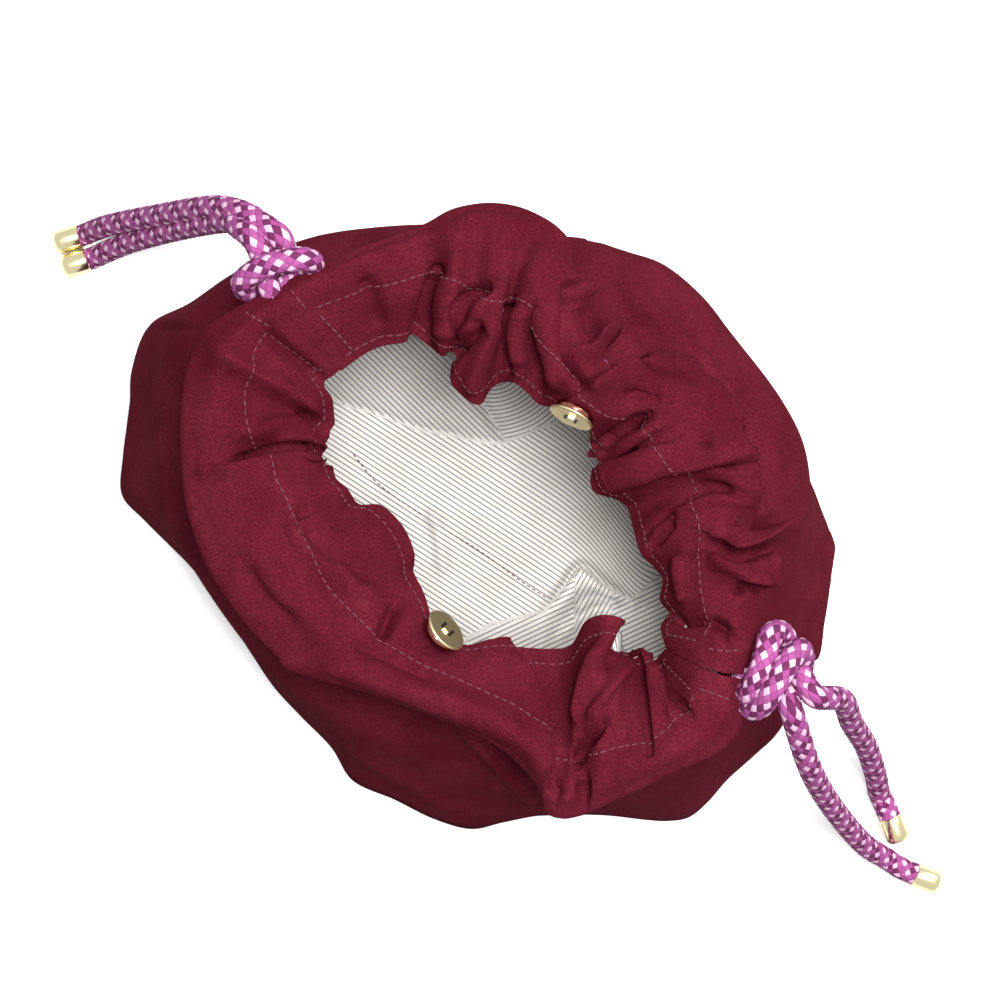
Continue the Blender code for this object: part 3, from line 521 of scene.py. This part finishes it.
def linear(code):
    """A colour given as a web code, as linear values."""
    parts = [int(code[k:k + 2], 16) / 255 for k in (1, 3, 5)]
    return (*[p / 12.92 if p <= 0.04045 else ((p + 0.055) / 1.055) ** 2.4 for p in parts], 1.0)


def fill(tree, node, inputs):
    """Sets a node's inputs, each to a value or linked from another node's output."""
    for place, value in inputs.items():
        if isinstance(value, bpy.types.NodeSocket):
            tree.links.new(value, node.inputs[place])
        else:
            node.inputs[place].default_value = value


def add(tree, kind, inputs, output=0, **settings):
    """Adds a node with its settings and links, and gives back one of its outputs."""
    node = tree.nodes.new("ShaderNode" + kind)
    for name, value in settings.items():
        setattr(node, name, value)
    fill(tree, node, inputs)
    return node.outputs[output]


def new_material(name):
    """A new node material, its tree, and the place of each point of the piece that it is on."""
    material = bpy.data.materials.new(name)
    material.use_nodes = True
    tree = material.node_tree
    return material, tree, add(tree, "TexCoord", {}, output="Object")


# What makes a Mix node one of colours
OF_COLOURS = {"output": 2, "data_type": "RGBA"}


def surfaced(material, inputs):
    """The material, once its surface has these inputs."""
    fill(material.node_tree, material.node_tree.nodes["Principled BSDF"], inputs)
    return material


def suede_finish():
    """Wine suede: a dense nap that is mottled where it was stroked, with a soft bright edge."""
    material, tree, place = new_material("napped_suede")
    # In millimetres. The real nap is finer, and is drawn as wide as it needs to show
    stroke_width, nap_width = 26.3, 0.909
    strokes = {"Vector": place, "Scale": 1000 / stroke_width, "Detail": 4, "Roughness": 0.6}
    stroked = add(tree, "MapRange", {0: add(tree, "TexNoise", strokes), 1: 0.36, 2: 0.66})
    nap = {"Vector": place, "Scale": 1000 / nap_width, "Detail": 2, "Roughness": 0.7}
    grain = add(tree, "MapRange", {0: add(tree, "TexNoise", nap), 1: 0.35, 2: 0.65})
    dyed = {0: stroked, 6: linear("#621A29"), 7: linear("#782636")}
    shade = add(tree, "Math", {0: grain, 1: 0.55}, operation="MULTIPLY")
    shaded = {0: shade, 6: add(tree, "Mix", dyed, **OF_COLOURS), 7: linear("#3C0C18")}
    fine_relief = add(tree, "Math", {0: grain, 1: 0.35}, operation="MULTIPLY")
    wide_relief = add(tree, "Math", {0: stroked, 1: 0.4}, operation="MULTIPLY")
    relief = add(tree, "Math", {0: fine_relief, 1: wide_relief}, operation="ADD")
    return surfaced(material, {
        "Base Color": add(tree, "Mix", shaded, **OF_COLOURS), "Roughness": 0.95,
        "Normal": add(tree, "Bump", {"Height": relief, "Distance": 0.0006}), "Specular IOR Level": 0.02,
        "Sheen Weight": 0.15, "Sheen Roughness": 0.42, "Sheen Tint": linear("#B43850"),
    })


def lining_finish():
    """Off-white cotton with fine woven stripes of slate blue, read along the cloth's own measure."""
    material, tree, place = new_material("striped_cotton_weave")
    # In millimetres. The real threads are closer, and are drawn as wide as they need to show
    soil_width, thread_spacing = 18.2, 0.3846
    measure = add(tree, "Attribute", {}, output="Fac", attribute_name="across")
    repeats = add(tree, "Math", {0: measure, 1: STRIPE_PITCH}, operation="DIVIDE")
    from_stripe = add(tree, "Math", {0: repeats, 1: 0.5}, operation="PINGPONG")
    stripe = add(tree, "MapRange", {0: from_stripe, 1: 0.17, 2: 0.09})
    woven = add(tree, "Math", {0: stripe, 1: 0.84}, operation="MULTIPLY")
    soil = add(tree, "TexNoise", {"Vector": place, "Scale": 1000 / soil_width, "Detail": 3})
    soiled = add(tree, "MapRange", {0: soil, 1: 0.35, 2: 0.7})
    ground = {0: soiled, 6: linear("#F8F4EF"), 7: linear("#ECE7E0")}
    colours = {0: woven, 6: add(tree, "Mix", ground, **OF_COLOURS), 7: linear("#4C5164")}
    weave = add(tree, "TexNoise", {"Vector": place, "Scale": 1000 / thread_spacing, "Detail": 1})
    thread = add(tree, "MapRange", {0: weave, 1: 0.3, 2: 0.7})
    return surfaced(material, {
        "Base Color": add(tree, "Mix", colours, **OF_COLOURS), "Roughness": 0.85,
        "Normal": add(tree, "Bump", {"Height": thread, "Distance": 0.00015}),
        "Sheen Weight": 0.1, "Specular IOR Level": 0.2,
    })


def braid_finish():
    """Braided polyester: pale pink, mauve and plum yarns crossing over and under one another, with painted
    shade where the yarns meet.
    """
    material, tree, place = new_material("braided_polyester")
    # In millimetres. A real filament is finer, and is drawn as wide as it needs to show
    filament_width = 0.6667
    around = add(tree, "SeparateXYZ", {0: add(tree, "UVMap", {}, uv_map="braid")})
    along = around.node.outputs[1]
    ahead = add(tree, "Math", {0: around, 1: 200.0}, operation="ADD")
    left = add(tree, "Math", {0: around, 1: along}, operation="ADD")
    right = add(tree, "Math", {0: ahead, 1: along}, operation="SUBTRACT")
    yarns = []
    for counted, repeat, most, plain, other in (
        (left, 2.0, 0.5, "#B4569C", "#FFCFF1"), (right, 4.0, 1.5, "#BC62A6", "#783261"),
    ):
        index = add(tree, "Math", {0: counted}, operation="FLOOR")
        turn = add(tree, "Math", {0: index, 1: repeat}, operation="FLOORED_MODULO")
        chosen = add(tree, "Math", {0: turn, 1: most}, operation="LESS_THAN")
        dyed = {0: chosen, 6: linear(plain), 7: linear(other)}
        edge = add(tree, "Math", {0: counted, 1: 0.5}, operation="PINGPONG")
        yarns.append((index, add(tree, "Mix", dyed, **OF_COLOURS), edge))
    (left_index, left_yarn, left_edge), (right_index, right_yarn, right_edge) = yarns
    crossing = add(tree, "Math", {0: left_index, 1: right_index}, operation="ADD")
    over = add(tree, "Math", {0: crossing, 1: 2.0}, operation="FLOORED_MODULO")
    colour = add(tree, "Mix", {0: over, 6: left_yarn, 7: right_yarn}, **OF_COLOURS)
    # Painted shade: each yarn darkens towards its edges, in the grooves where it meets its neighbours.
    near = add(tree, "Math", {0: left_edge, 1: right_edge}, operation="MINIMUM")
    groove_shade = add(tree, "MapRange", {0: near, 1: 0.10, 2: 0.0})
    fuzz = add(tree, "TexNoise", {"Vector": place, "Scale": 1000 / filament_width, "Detail": 2})
    speck = add(tree, "MapRange", {0: fuzz, 1: 0.4, 2: 0.7})
    # The first mark is painted shade in the grooves between yarns; the second is random dark specks of fuzz.
    for mark, share, code in ((groove_shade, 0.5, "#3A1530"), (speck, 0.12, "#2E1026")):
        depth = add(tree, "Math", {0: mark, 1: share}, operation="MULTIPLY")
        darker = {0: depth, 6: colour, 7: linear(code)}
        colour = add(tree, "Mix", darker, **OF_COLOURS)
    return surfaced(material, {
        "Base Color": colour, "Roughness": 0.7, "Specular IOR Level": 0.12,
        "Normal": add(tree, "Bump", {"Height": fuzz, "Distance": 0.0003}),
    })


def metal_finish(name, code, roughness):
    """Polished plated metal: a mirror-like skin with the faintest unevenness."""
    material, tree, place = new_material(name)
    # In millimetres
    ripple_width = 14.286
    uneven = add(tree, "TexNoise", {"Vector": place, "Scale": 1000 / ripple_width, "Detail": 1})
    paler = add(tree, "Math", {0: uneven, 1: 0.15}, operation="MULTIPLY")
    colours = {0: paler, 6: linear(code), 7: linear("#FFFFFF")}
    return surfaced(material, {
        "Base Color": add(tree, "Mix", colours, **OF_COLOURS), "Metallic": 1.0,
        "Roughness": roughness, "Normal": add(tree, "Bump", {"Height": uneven, "Distance": 0.0004}),
    })


def thread_finish():
    """Spun sewing thread, a dusky wine a little paler than the suede."""
    material, tree, place = new_material("sewing_thread")
    # In millimetres
    twist_width = 0.5556
    spun = add(tree, "TexNoise", {"Vector": place, "Scale": 1000 / twist_width, "Detail": 1})
    twist = add(tree, "MapRange", {0: spun, 1: 0.3, 2: 0.7})
    colours = {0: twist, 6: linear("#521A28"), 7: linear("#834754")}
    return surfaced(material, {
        "Base Color": add(tree, "Mix", colours, **OF_COLOURS), "Roughness": 0.7,
    })


def braided_tube(name, route, finish):
    """A round braid along a line, its yarns raised in a crossing pattern."""
    count = int(shape_length(route) / BRAID_RING_STEP)
    path = smooth_line(route, count)
    ahead = np.gradient(path, axis=0)
    ahead /= np.linalg.norm(ahead, axis=1, keepdims=True)
    side = np.cross(ahead[0], (0.3, 0.2, 1.0))
    around = 48
    angle = np.linspace(0, 2 * np.pi, around + 1)
    vertices, coordinates = [], []
    run = 0.0
    for k, point in enumerate(path):
        side = side - ahead[k] * (side @ ahead[k])
        side = side / np.linalg.norm(side)
        other = np.cross(ahead[k], side)
        if k:
            run += np.linalg.norm(point - path[k - 1]) / (1 + 0.45 * abs(ahead[k][2]))
        turn = angle / (2 * np.pi) * BRAID_STRANDS
        shift = run / BRAID_PITCH * BRAID_STRANDS
        raised = np.abs(np.sin(np.pi * (turn + shift))) * np.abs(np.sin(np.pi * (turn - shift)))
        radius = CORD / 2 * (0.93 + 0.09 * np.sqrt(raised))
        ring = point + np.outer(radius * np.cos(angle), side) + np.outer(radius * np.sin(angle), other)
        vertices.append(ring)
        coordinates.append(np.column_stack([turn, np.full(around + 1, shift)]))
    made = mesh_object(name, np.concatenate(vertices), quads(len(path), around + 1, turned=True), finish)
    layer = made.data.uv_layers.new(name="braid")
    table = np.concatenate(coordinates)
    corners = np.empty(len(made.data.loops), int)
    made.data.loops.foreach_get("vertex_index", corners)
    layer.data.foreach_set("uv", table[corners].ravel())
    return made, path


def shape_length(points):
    """The length of the smooth curve through some points."""
    line = smooth_line(np.array(points, float), 200)
    return float(np.linalg.norm(np.diff(line, axis=0), axis=1).sum())


def stitches(lines, finish, name, length=0.0026, pitch=0.0036, width=0.00032):
    """Thread stitches lying on lines of (points, normals)."""
    vertices, faces = [], []
    for points, normals in lines:
        run = run_along(points)
        for start in np.arange(pitch / 2, run[-1] - length, pitch):
            spots = (start, start + length / 2, start + length)
            ends = np.column_stack([np.interp(spots, run, points[:, axis]) for axis in range(3)])
            near = np.searchsorted(run, start)
            up = normals[min(near, len(normals) - 1)]
            ahead = ends[2] - ends[0]
            size = np.linalg.norm(ahead)
            if size < 1e-6:
                continue
            ahead /= size
            across = np.cross(ahead, up)
            first = sum(len(v) for v in vertices)
            block = []
            for spot, rise, half in ((ends[0], -0.0001, 0.4), (ends[0], 0.00008, 1), (ends[1], 0.00022, 1),
                                     (ends[2], 0.00008, 1), (ends[2], -0.0001, 0.4)):
                for turn in np.linspace(0, 2 * np.pi, 7)[:-1]:
                    block.append(spot + up * (rise + width * half * 0.7 * math.sin(turn)) +
                                 across * width * half * math.cos(turn))
            vertices.append(np.array(block))
            for ring in range(4):
                for k in range(6):
                    a, b = first + ring * 6 + k, first + ring * 6 + (k + 1) % 6
                    faces.append((a, b, b + 6, a + 6))
    return mesh_object(name, np.concatenate(vertices), faces, finish)


def main():
    """Makes the finishes, then every piece in them, then the studio."""
    suede = suede_finish()
    cotton = lining_finish()
    braid = braid_finish()
    thread = thread_finish()
    pale_gold = metal_finish("pale_gold_plate", "#FBEBB4", 0.38)
    cap_gold = metal_finish("pale_gold_cap", "#F7E9B4", 0.2)
    # The dish's copper-brown colour is a painted reflection: the gold side wall of the cup mirroring the
    # wine suede.
    dish = metal_finish("gold_dish_painted_suede_reflection", "#9C4A2C", 0.2)
    slot = metal_finish("shaded_slot", "#4A3A1C", 0.5)

    cords(braid, cap_gold)
    grids, unders = {}, {}
    for name, stations, bulge, foot, side in (
        ("back", BACK_STATIONS, BULGE_BACK, FOOT_BACK, 1),
        ("front", FRONT_STATIONS, BULGE_FRONT, FOOT_FRONT, -1),
    ):
        grid, under, smooth = suede_surface(stations, bulge, foot, side)
        grids[name] = grid
        unders[name] = (under, bulge)
        channel_cord(name, smooth, braid)
        made = panel(name + "_suede", grid, suede)
        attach(made, "root")
        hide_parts(name + "_panel")
    linings(unders, cotton)
    stitching(grids, thread)
    snaps(pale_gold, dish, slot)
    studio()


# Each cord end's way out of its slit, round its knot and down to its cap, in pixels and metres of height
CORD_WAYS = {
    "left_tail_upper": [
        (281, 303, 0.139), (284, 290, 0.141), (297, 272, 0.141), (312, 264, 0.146), (303, 259, 0.153),
        (287, 261, 0.155), (270, 265, 0.154), (253, 273, 0.151), (243, 283, 0.145), (250, 290, 0.137),
        (262, 280, 0.134), (276, 264, 0.135), (284, 250, 0.139), (279, 236, 0.142),
        (265.7, 226.3, 0.139), (240.5, 211.6, 0.129), (208.9, 207.4, 0.109), (156, 215.8, 0.066),
        (114, 224, 0.032), (95, 230, 0.014), (87, 233.5, 0.007), (80, 236, 0.0053),
    ],
    "left_tail_lower": [
        (276, 303, 0.138), (272, 292, 0.143), (266, 280, 0.144), (264, 268, 0.143), (262, 256, 0.143),
        (253, 239, 0.142),
        (240, 228, 0.133), (225.7, 221, 0.119), (177, 229.5, 0.074), (131, 242, 0.034), (106, 252, 0.013),
        (97, 256, 0.007), (88, 259.5, 0.0053),
    ],
    "right_tail_upper": [
        (744, 676, 0.138), (746, 690, 0.143), (750, 693, 0.148), (758, 677, 0.153), (765, 657, 0.153),
        (771, 636, 0.149), (781, 633, 0.141), (789, 648, 0.136), (796, 666, 0.137), (806, 684, 0.139),
        (817, 697, 0.138),
        (842, 700, 0.115), (852, 723, 0.086), (866, 746, 0.056), (875, 772, 0.027), (879, 791, 0.0085),
        (884, 803, 0.0055), (890, 817, 0.0053),
    ],
    "right_tail_lower": [
        (743, 690, 0.136), (749, 706, 0.143), (759, 707, 0.149), (771, 693, 0.155), (781, 675, 0.156),
        (791, 659, 0.152), (800, 650, 0.145), (803, 662, 0.136), (796, 682, 0.132), (789, 699, 0.135),
        (793, 715, 0.136),
        (808, 763, 0.112), (823, 793, 0.08), (843, 821, 0.048), (865, 845, 0.02), (884, 857, 0.0075),
        (901, 868, 0.0053), (915, 874, 0.0053),
    ],
}
# Half the profile of each turned piece: radius, then distance along its axis, in millimetres
CAP_PROFILE = [
    (4.7, 0), (5.1, 0.1), (5.3, 0.5), (5.3, 8.4), (5.1, 9.7), (4.4, 10.8), (3.2, 11.3), (1.6, 11.5),
    (0, 11.5),
]
PLATE_PROFILE = [
    (0, 0), (8.2, 0), (8.8, 0.25), (9, 0.65), (8.8, 1.0), (8.2, 1.2), (7.4, 1.15), (4.0, 1.3), (0, 1.35),
]
TURNED_POINTS = 65
DISH_PROFILE = [(0, -3), (6.6, -3), (7.9, -2.5), (8.25, -1.6), (8.25, -0.4), (7.9, 0), (0, 0)]


def turned(name, profile, place, axis, finish):
    """A turned metal piece: its profile swept round an axis."""
    axis = np.array(axis, float) / np.linalg.norm(axis)
    across = np.cross(axis, (0.31, 0.2, 0.93))
    across /= np.linalg.norm(across)
    angle = np.linspace(0, 2 * np.pi, TURNED_POINTS)[:, None]
    ring = np.cos(angle) * across + np.sin(angle) * np.cross(axis, across)
    rows = [place + ring * radius / 1000 + axis * along / 1000 for radius, along in profile]
    return mesh_object(name, np.concatenate(rows), quads(len(rows), TURNED_POINTS, turned=True), finish)


def cords(braid, cap_gold):
    """Each braided cord end, from its slit round the knot and down to its cap on the floor."""
    knots = {"left_tail_upper": "left_knot", "right_tail_upper": "right_knot"}
    for name, spots in CORD_WAYS.items():
        way = np.array([at_picture(*spot) for spot in spots])
        made, path = braided_tube(name.replace("tail", "cord"), way, braid)
        ahead = (path[-1] - path[-4]) * (1, 1, 0)
        cap = turned(name.replace("tail", "end_cap"), CAP_PROFILE, path[-1], ahead, cap_gold)
        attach(cap, "root")
        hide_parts(name.replace("tail", "cap"))
        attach(made, "root")
        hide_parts(name, *([knots[name]] if name in knots else []))


def channel_cord(name, smooth, braid):
    """The hidden run of the drawcord inside the channel."""
    made, _ = braided_tube(name + "_channel_cord", channel_line(smooth), braid)
    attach(made, "root")
    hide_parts(name + "_drawcord")


# The lining's foot as the picture shows it, slack and drawn in under the back panel
LINING_FOOT_BACK = [
    (-138, -52), (-128, -20), (-108, 8), (-88, 24), (-62, 33), (-34, 40), (-8, 52), (6, 62), (24, 72),
    (52, 76), (84, 70), (112, 56), (134, 36), (146, 22),
]
LINING_FOOT_FRONT = [
    (146, 22), (146, -8), (132, -40), (108, -64), (72, -86), (36, -98), (4, -98), (-34, -94), (-74, -84),
    (-116, -76), (-138, -52),
]
LINING_SEAM = ((-0.130, -0.044), (0.138, 0.018))

# Where the picture shows the slack lining leave the floor: x and y of each line, in pixels
BACK_CREASE = ([280, 332, 420, 500, 560, 600, 640, 720], [382, 400, 430, 444, 420, 395, 380, 370])
FRONT_CREASE = (
    [380, 418, 436, 462, 491, 545, 580, 605, 630, 655, 720],
    [540, 585, 636, 643, 624, 611, 567, 585, 601, 578, 565],
)
# Where the stripes change their direction on the slack lining, in pixels
STEEP_STRIPES, LEVEL_STRIPES = 612, 642
BACK_WALL_END, LOBE_END = 560, 575
LOBE_MIDDLE = (492, 366)
LOBE_EDGE = ([300, 335, 375, 415, 440], [436, 442, 463, 490, 505])
FAN = (575, 612)
# Metres of cloth for each pixel of the floor
MEASURE = 0.00041
SEAM_LINE = [(352, 452), (380, 485), (430, 520), (480, 551), (520, 580), (550, 600)]
LINING_FOLDS = [
    (0.45, 0, 4, SEAM_LINE),
    (-2.5, 0, 4, [(332, 400), (420, 430), (500, 444), (530, 434), (560, 420)]),
    (3, 0, 6, [(440, 335), (462, 375), (490, 415), (503, 440)]),
    (3, 2, 5, [(545, 611), (562, 590), (580, 567), (604, 584), (630, 600)]),
    (-3, 0, 5, [(560, 640), (580, 618), (606, 606)]),
    (3, 0, 7, [(570, 614), (592, 596), (625, 606)]),
    (2, 0, 6, [(640, 610), (652, 590), (662, 580)]),
    (-2, 0, 8, [(470, 590), (478, 615), (470, 640)]),
    (2, 0, 8, [(430, 500), (440, 540), (444, 580)]),
    (-1.5, 0, 7, [(352, 470), (376, 500), (384, 520)]),
]


def cloth_measure(seen):
    """How far across its stripes each seen point of the lining lies, in pixels on the floor."""
    x, y = seen[..., 0], seen[..., 1]
    places = np.arange(200.0, 900.0)
    slope = 0.65 + 0.62 * np.exp(-(((places - STEEP_STRIPES) / 34) ** 2))
    slope -= 0.45 / (1 + np.exp((LEVEL_STRIPES - places) / 6))
    bend = np.interp(x, places, np.cumsum(slope))
    measure = (y - bend) * 0.84
    wall = -0.695 * x + 0.719 * y
    arcs = np.hypot(x - LOBE_MIDDLE[0], (y - LOBE_MIDDLE[1]) * 1.15)
    rising = 0.42 * x + 0.9 * y
    fan = 0.9 * x + 0.5 * y
    back = y < np.interp(x, *BACK_CREASE)
    front = y > np.interp(x, *FRONT_CREASE)
    lobe = back & (x > np.interp(y, *LOBE_EDGE)) & (x < LOBE_END)
    measure = np.where(back & (x < BACK_WALL_END), wall, measure)
    measure = np.where(lobe, arcs, measure)
    measure = np.where(front, rising, measure)
    return np.where(front & (x > FAN[0]) & (x < FAN[1]), fan, measure)


def raise_slack(cloth, seen):
    """Lifts the lining off the floor beyond the creases that the picture shows."""
    x, y = seen[..., 0], seen[..., 1]
    reach = (CAMERA_PLACE[2] - cloth[..., 2]) / FOCAL_PIXELS
    behind = (np.interp(x, *BACK_CREASE) - y) * reach
    before = (y - np.interp(x, *FRONT_CREASE)) * reach
    rise = np.clip(np.maximum(0.8 * behind, 0.7 * before), 0, MOST_SLACK)
    near = np.clip((0.05 - cloth[..., 2]) / 0.02, 0, 1)
    lifted = cloth.copy()
    lifted[..., 2] = np.maximum(cloth[..., 2], LINING_REST + rise * near)
    return lifted


def linings(unders, cotton):
    """Both halves of the lining, with their creases and the measure that their stripes follow."""
    seams = {"back": LINING_SEAM, "front": LINING_SEAM[::-1]}
    feet = {"back": LINING_FOOT_BACK, "front": LINING_FOOT_FRONT}
    for name, (under, bulge) in unders.items():
        cloth = lining_surface(under, bulge, feet[name], seams[name])
        cloth = raise_slack(cloth, in_picture(cloth))
        folds = fold_heights(cloth, LINING_FOLDS)
        folds[:len(under)] = 0
        cloth[..., 2] += folds * (cloth[..., 2] < LINING_WALL)
        cloth[..., 2] = np.maximum(cloth[..., 2], LINING_LEAST)
        made = mesh_object(name + "_cotton", cloth.reshape(-1, 3), quads(*cloth.shape[:2]), cotton)
        across = cloth_measure(in_picture(cloth)) * MEASURE
        across = np.where(cloth[..., 2] > LINING_WALL, cloth[..., 2], across)
        layer = made.data.attributes.new("across", "FLOAT", "POINT")
        layer.data.foreach_set("value", across.astype(np.float32).ravel())
        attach(made, "root")
        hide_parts(name + "_lining")


def stitching(grids, thread):
    """The lining's seam, and each panel's stitches along its channel, hem and slits."""
    line = smooth_line(np.array([at_picture(px, py, 0.0) for px, py in SEAM_LINE]), 120)
    seam = (level(line, SEAM_HEIGHT), np.tile([0, 0, 1.0], (120, 1)))
    made = stitches([seam], thread, "lining_seam", 0.0016, 0.0027, 0.00022)
    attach(made, "root")
    for name, grid in grids.items():
        normals = grid_normals(grid)
        stitched, outer = row_at(STITCHING), row_at(OUTER - 1)
        sewn = [np.s_[stitched, 10:-10], np.s_[row_at(HEM), 4:-4]]
        sewn += [np.s_[4:stitched, column] for column in (11, -12)]
        sewn += [np.s_[stitched:outer, column] for column in (8, -9)]
        made = stitches([(grid[line], normals[line]) for line in sewn], thread, name + "_stitching")
        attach(made, "root")


# Each snap half: the picture's place of its plate, its height and the way the plate faces
SNAPS = {
    "back": ((572, 416), 0.1435, (0.214, -0.937, 0.276)),
    "front": ((445, 631), 0.1440, (0.170, 0.866, 0.469)),
}
PLATE_FACE = 0.0013
BRIDGE_SIZE, BRIDGE_RISE = (0.0024, 0.0046, 0.0008), 0.0003
SLOT_SIZE, SLOT_PLACE = (0.0013, 0.0052, 0.00012), 0.0021


def bar(name, place, ways, size, finish):
    """A small block with its length, width and height along the three ways."""
    signs = np.array([(x, y, z) for x in (-1, 1) for y in (-1, 1) for z in (-1, 1)])
    corners = place + signs * np.array(size) / 2 @ np.array(ways)
    sides = [(0, 1, 3, 2), (4, 6, 7, 5), (0, 4, 5, 1), (2, 3, 7, 6), (0, 2, 6, 4), (1, 5, 7, 3)]
    return mesh_object(name, corners, sides, finish, smooth=False)


def snaps(pale_gold, dish, slot):
    """Each half: a thin plate with two slots drawn as dark bars of painted shade and a raised bridge between
    them, on its magnet's dish.
    """
    for name, (spot, height, facing) in SNAPS.items():
        place = at_picture(*spot, height)
        axis = np.array(facing) / np.linalg.norm(facing)
        along = np.cross(axis, (0, 0, 1))
        along /= np.linalg.norm(along)
        ways = [along, np.cross(axis, along), axis]
        face = place + axis * PLATE_FACE
        plate = turned(name + "_plate", PLATE_PROFILE, place, axis, pale_gold)
        # The dish's brown is the painted reflection of the suede in its gold wall.
        dished = turned(name + "_dish", DISH_PROFILE, place, axis, dish)
        bridge = bar(name + "_bridge", face + axis * BRIDGE_RISE, ways, BRIDGE_SIZE, pale_gold)
        # The slots are thin dark bars on the plate's face: painted shade in place of the slot holes.
        near_slot, far_slot = (
            bar(name + "_slot_shade_" + side, face + along * way, ways, SLOT_SIZE, slot)
            for side, way in (("near", -SLOT_PLACE), ("far", SLOT_PLACE))
        )
        zinc = "gold_plated_zinc"
        for made, node, kind in (
            (plate, "_snap_plate", zinc), (dished, "_snap_magnet", "polished_magnet_dish"),
            (bridge, None, zinc), (near_slot, None, zinc), (far_slot, None, zinc),
        ):
            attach(made, "root")
            if node:
                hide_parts(name + node)


def add_light(name, place, power, colour):
    """A round softbox that faces the bag."""
    lamp = bpy.data.lights.new(name, "AREA")
    lamp.shape = "DISK"
    lamp.size = SOFTBOX
    lamp.energy = power
    lamp.color = colour
    made = bpy.data.objects.new(name, lamp)
    made.location = place
    made.rotation_euler = (Vector((0, 0, 0.05)) - Vector(place)).to_track_quat("-Z", "Y").to_euler()
    bpy.context.scene.collection.objects.link(made)
    return made


def studio():
    """A white table under soft light from the picture's upper left, with a near-white surround."""
    scene = bpy.context.scene
    table, tree, place = new_material("white_table")
    camera_ray = add(tree, "LightPath", {}, output="Is Camera Ray")
    uneven = add(tree, "TexNoise", {"Vector": place, "Scale": 3, "Detail": 1})
    whites = {0: uneven, 6: linear("#FFFFFF"), 7: linear("#FCFDFF")}
    paper = add(tree, "Mix", whites, **OF_COLOURS)
    bounced = {0: camera_ray.node.outputs["Is Diffuse Ray"], 6: paper, 7: linear("#9A9A9A")}
    surfaced(table, {
        "Base Color": add(tree, "Mix", bounced, **OF_COLOURS), "Roughness": 0.9,
        "Specular IOR Level": 0.0, "Emission Color": (1, 1, 1, 1),
        "Emission Strength": add(tree, "Math", {0: camera_ray, 1: 0.35}, operation="MULTIPLY"),
    })
    corners = [(x * TABLE, y * TABLE, -0.0004) for x, y in ((-1, -1), (1, -1), (1, 1), (-1, 1))]
    mesh = mesh_object("white_table", corners, [(0, 1, 2, 3)], table, smooth=False)
    middle = at_picture(MIDDLE, MIDDLE, 0.0)
    overhead = middle + RIGHT * 0.17 + UP * 0.12 + (0, 0, 1.9)
    beside = middle + RIGHT * 0.9 + UP * 0.8 + (0, 0, 1.1)
    add_light("overhead_softbox", overhead, 44.0, (1.0, 0.99, 0.98))
    add_light("side_softbox", beside, 8.0, (1.0, 0.98, 0.97))
    world = bpy.data.worlds.new("white_room")
    world.use_nodes = True
    tree = world.node_tree
    glossy_ray = add(tree, "LightPath", {}, output="Is Glossy Ray")
    strength = add(tree, "MapRange", {0: glossy_ray, "To Min": 0.13, "To Max": 0.75})
    fill(tree, tree.nodes["Background"], {0: (0.98, 0.99, 1.0, 1.0), 1: strength})
    scene.world = world
    scene.view_settings.view_transform = "Standard"
    lens = bpy.data.cameras.new("camera")
    lens.sensor_width = SENSOR
    lens.lens = FOCAL_PIXELS * SENSOR / PICTURE
    lens.clip_start, lens.clip_end = 0.05, 20
    camera = bpy.data.objects.new("camera", lens)
    turn = Matrix((RIGHT, UP, np.array([0, 0, 1.0]))).transposed().to_4x4()
    camera.matrix_world = Matrix.Translation(Vector(CAMERA_PLACE)) @ turn
    scene.collection.objects.link(camera)
    scene.camera = camera


main()
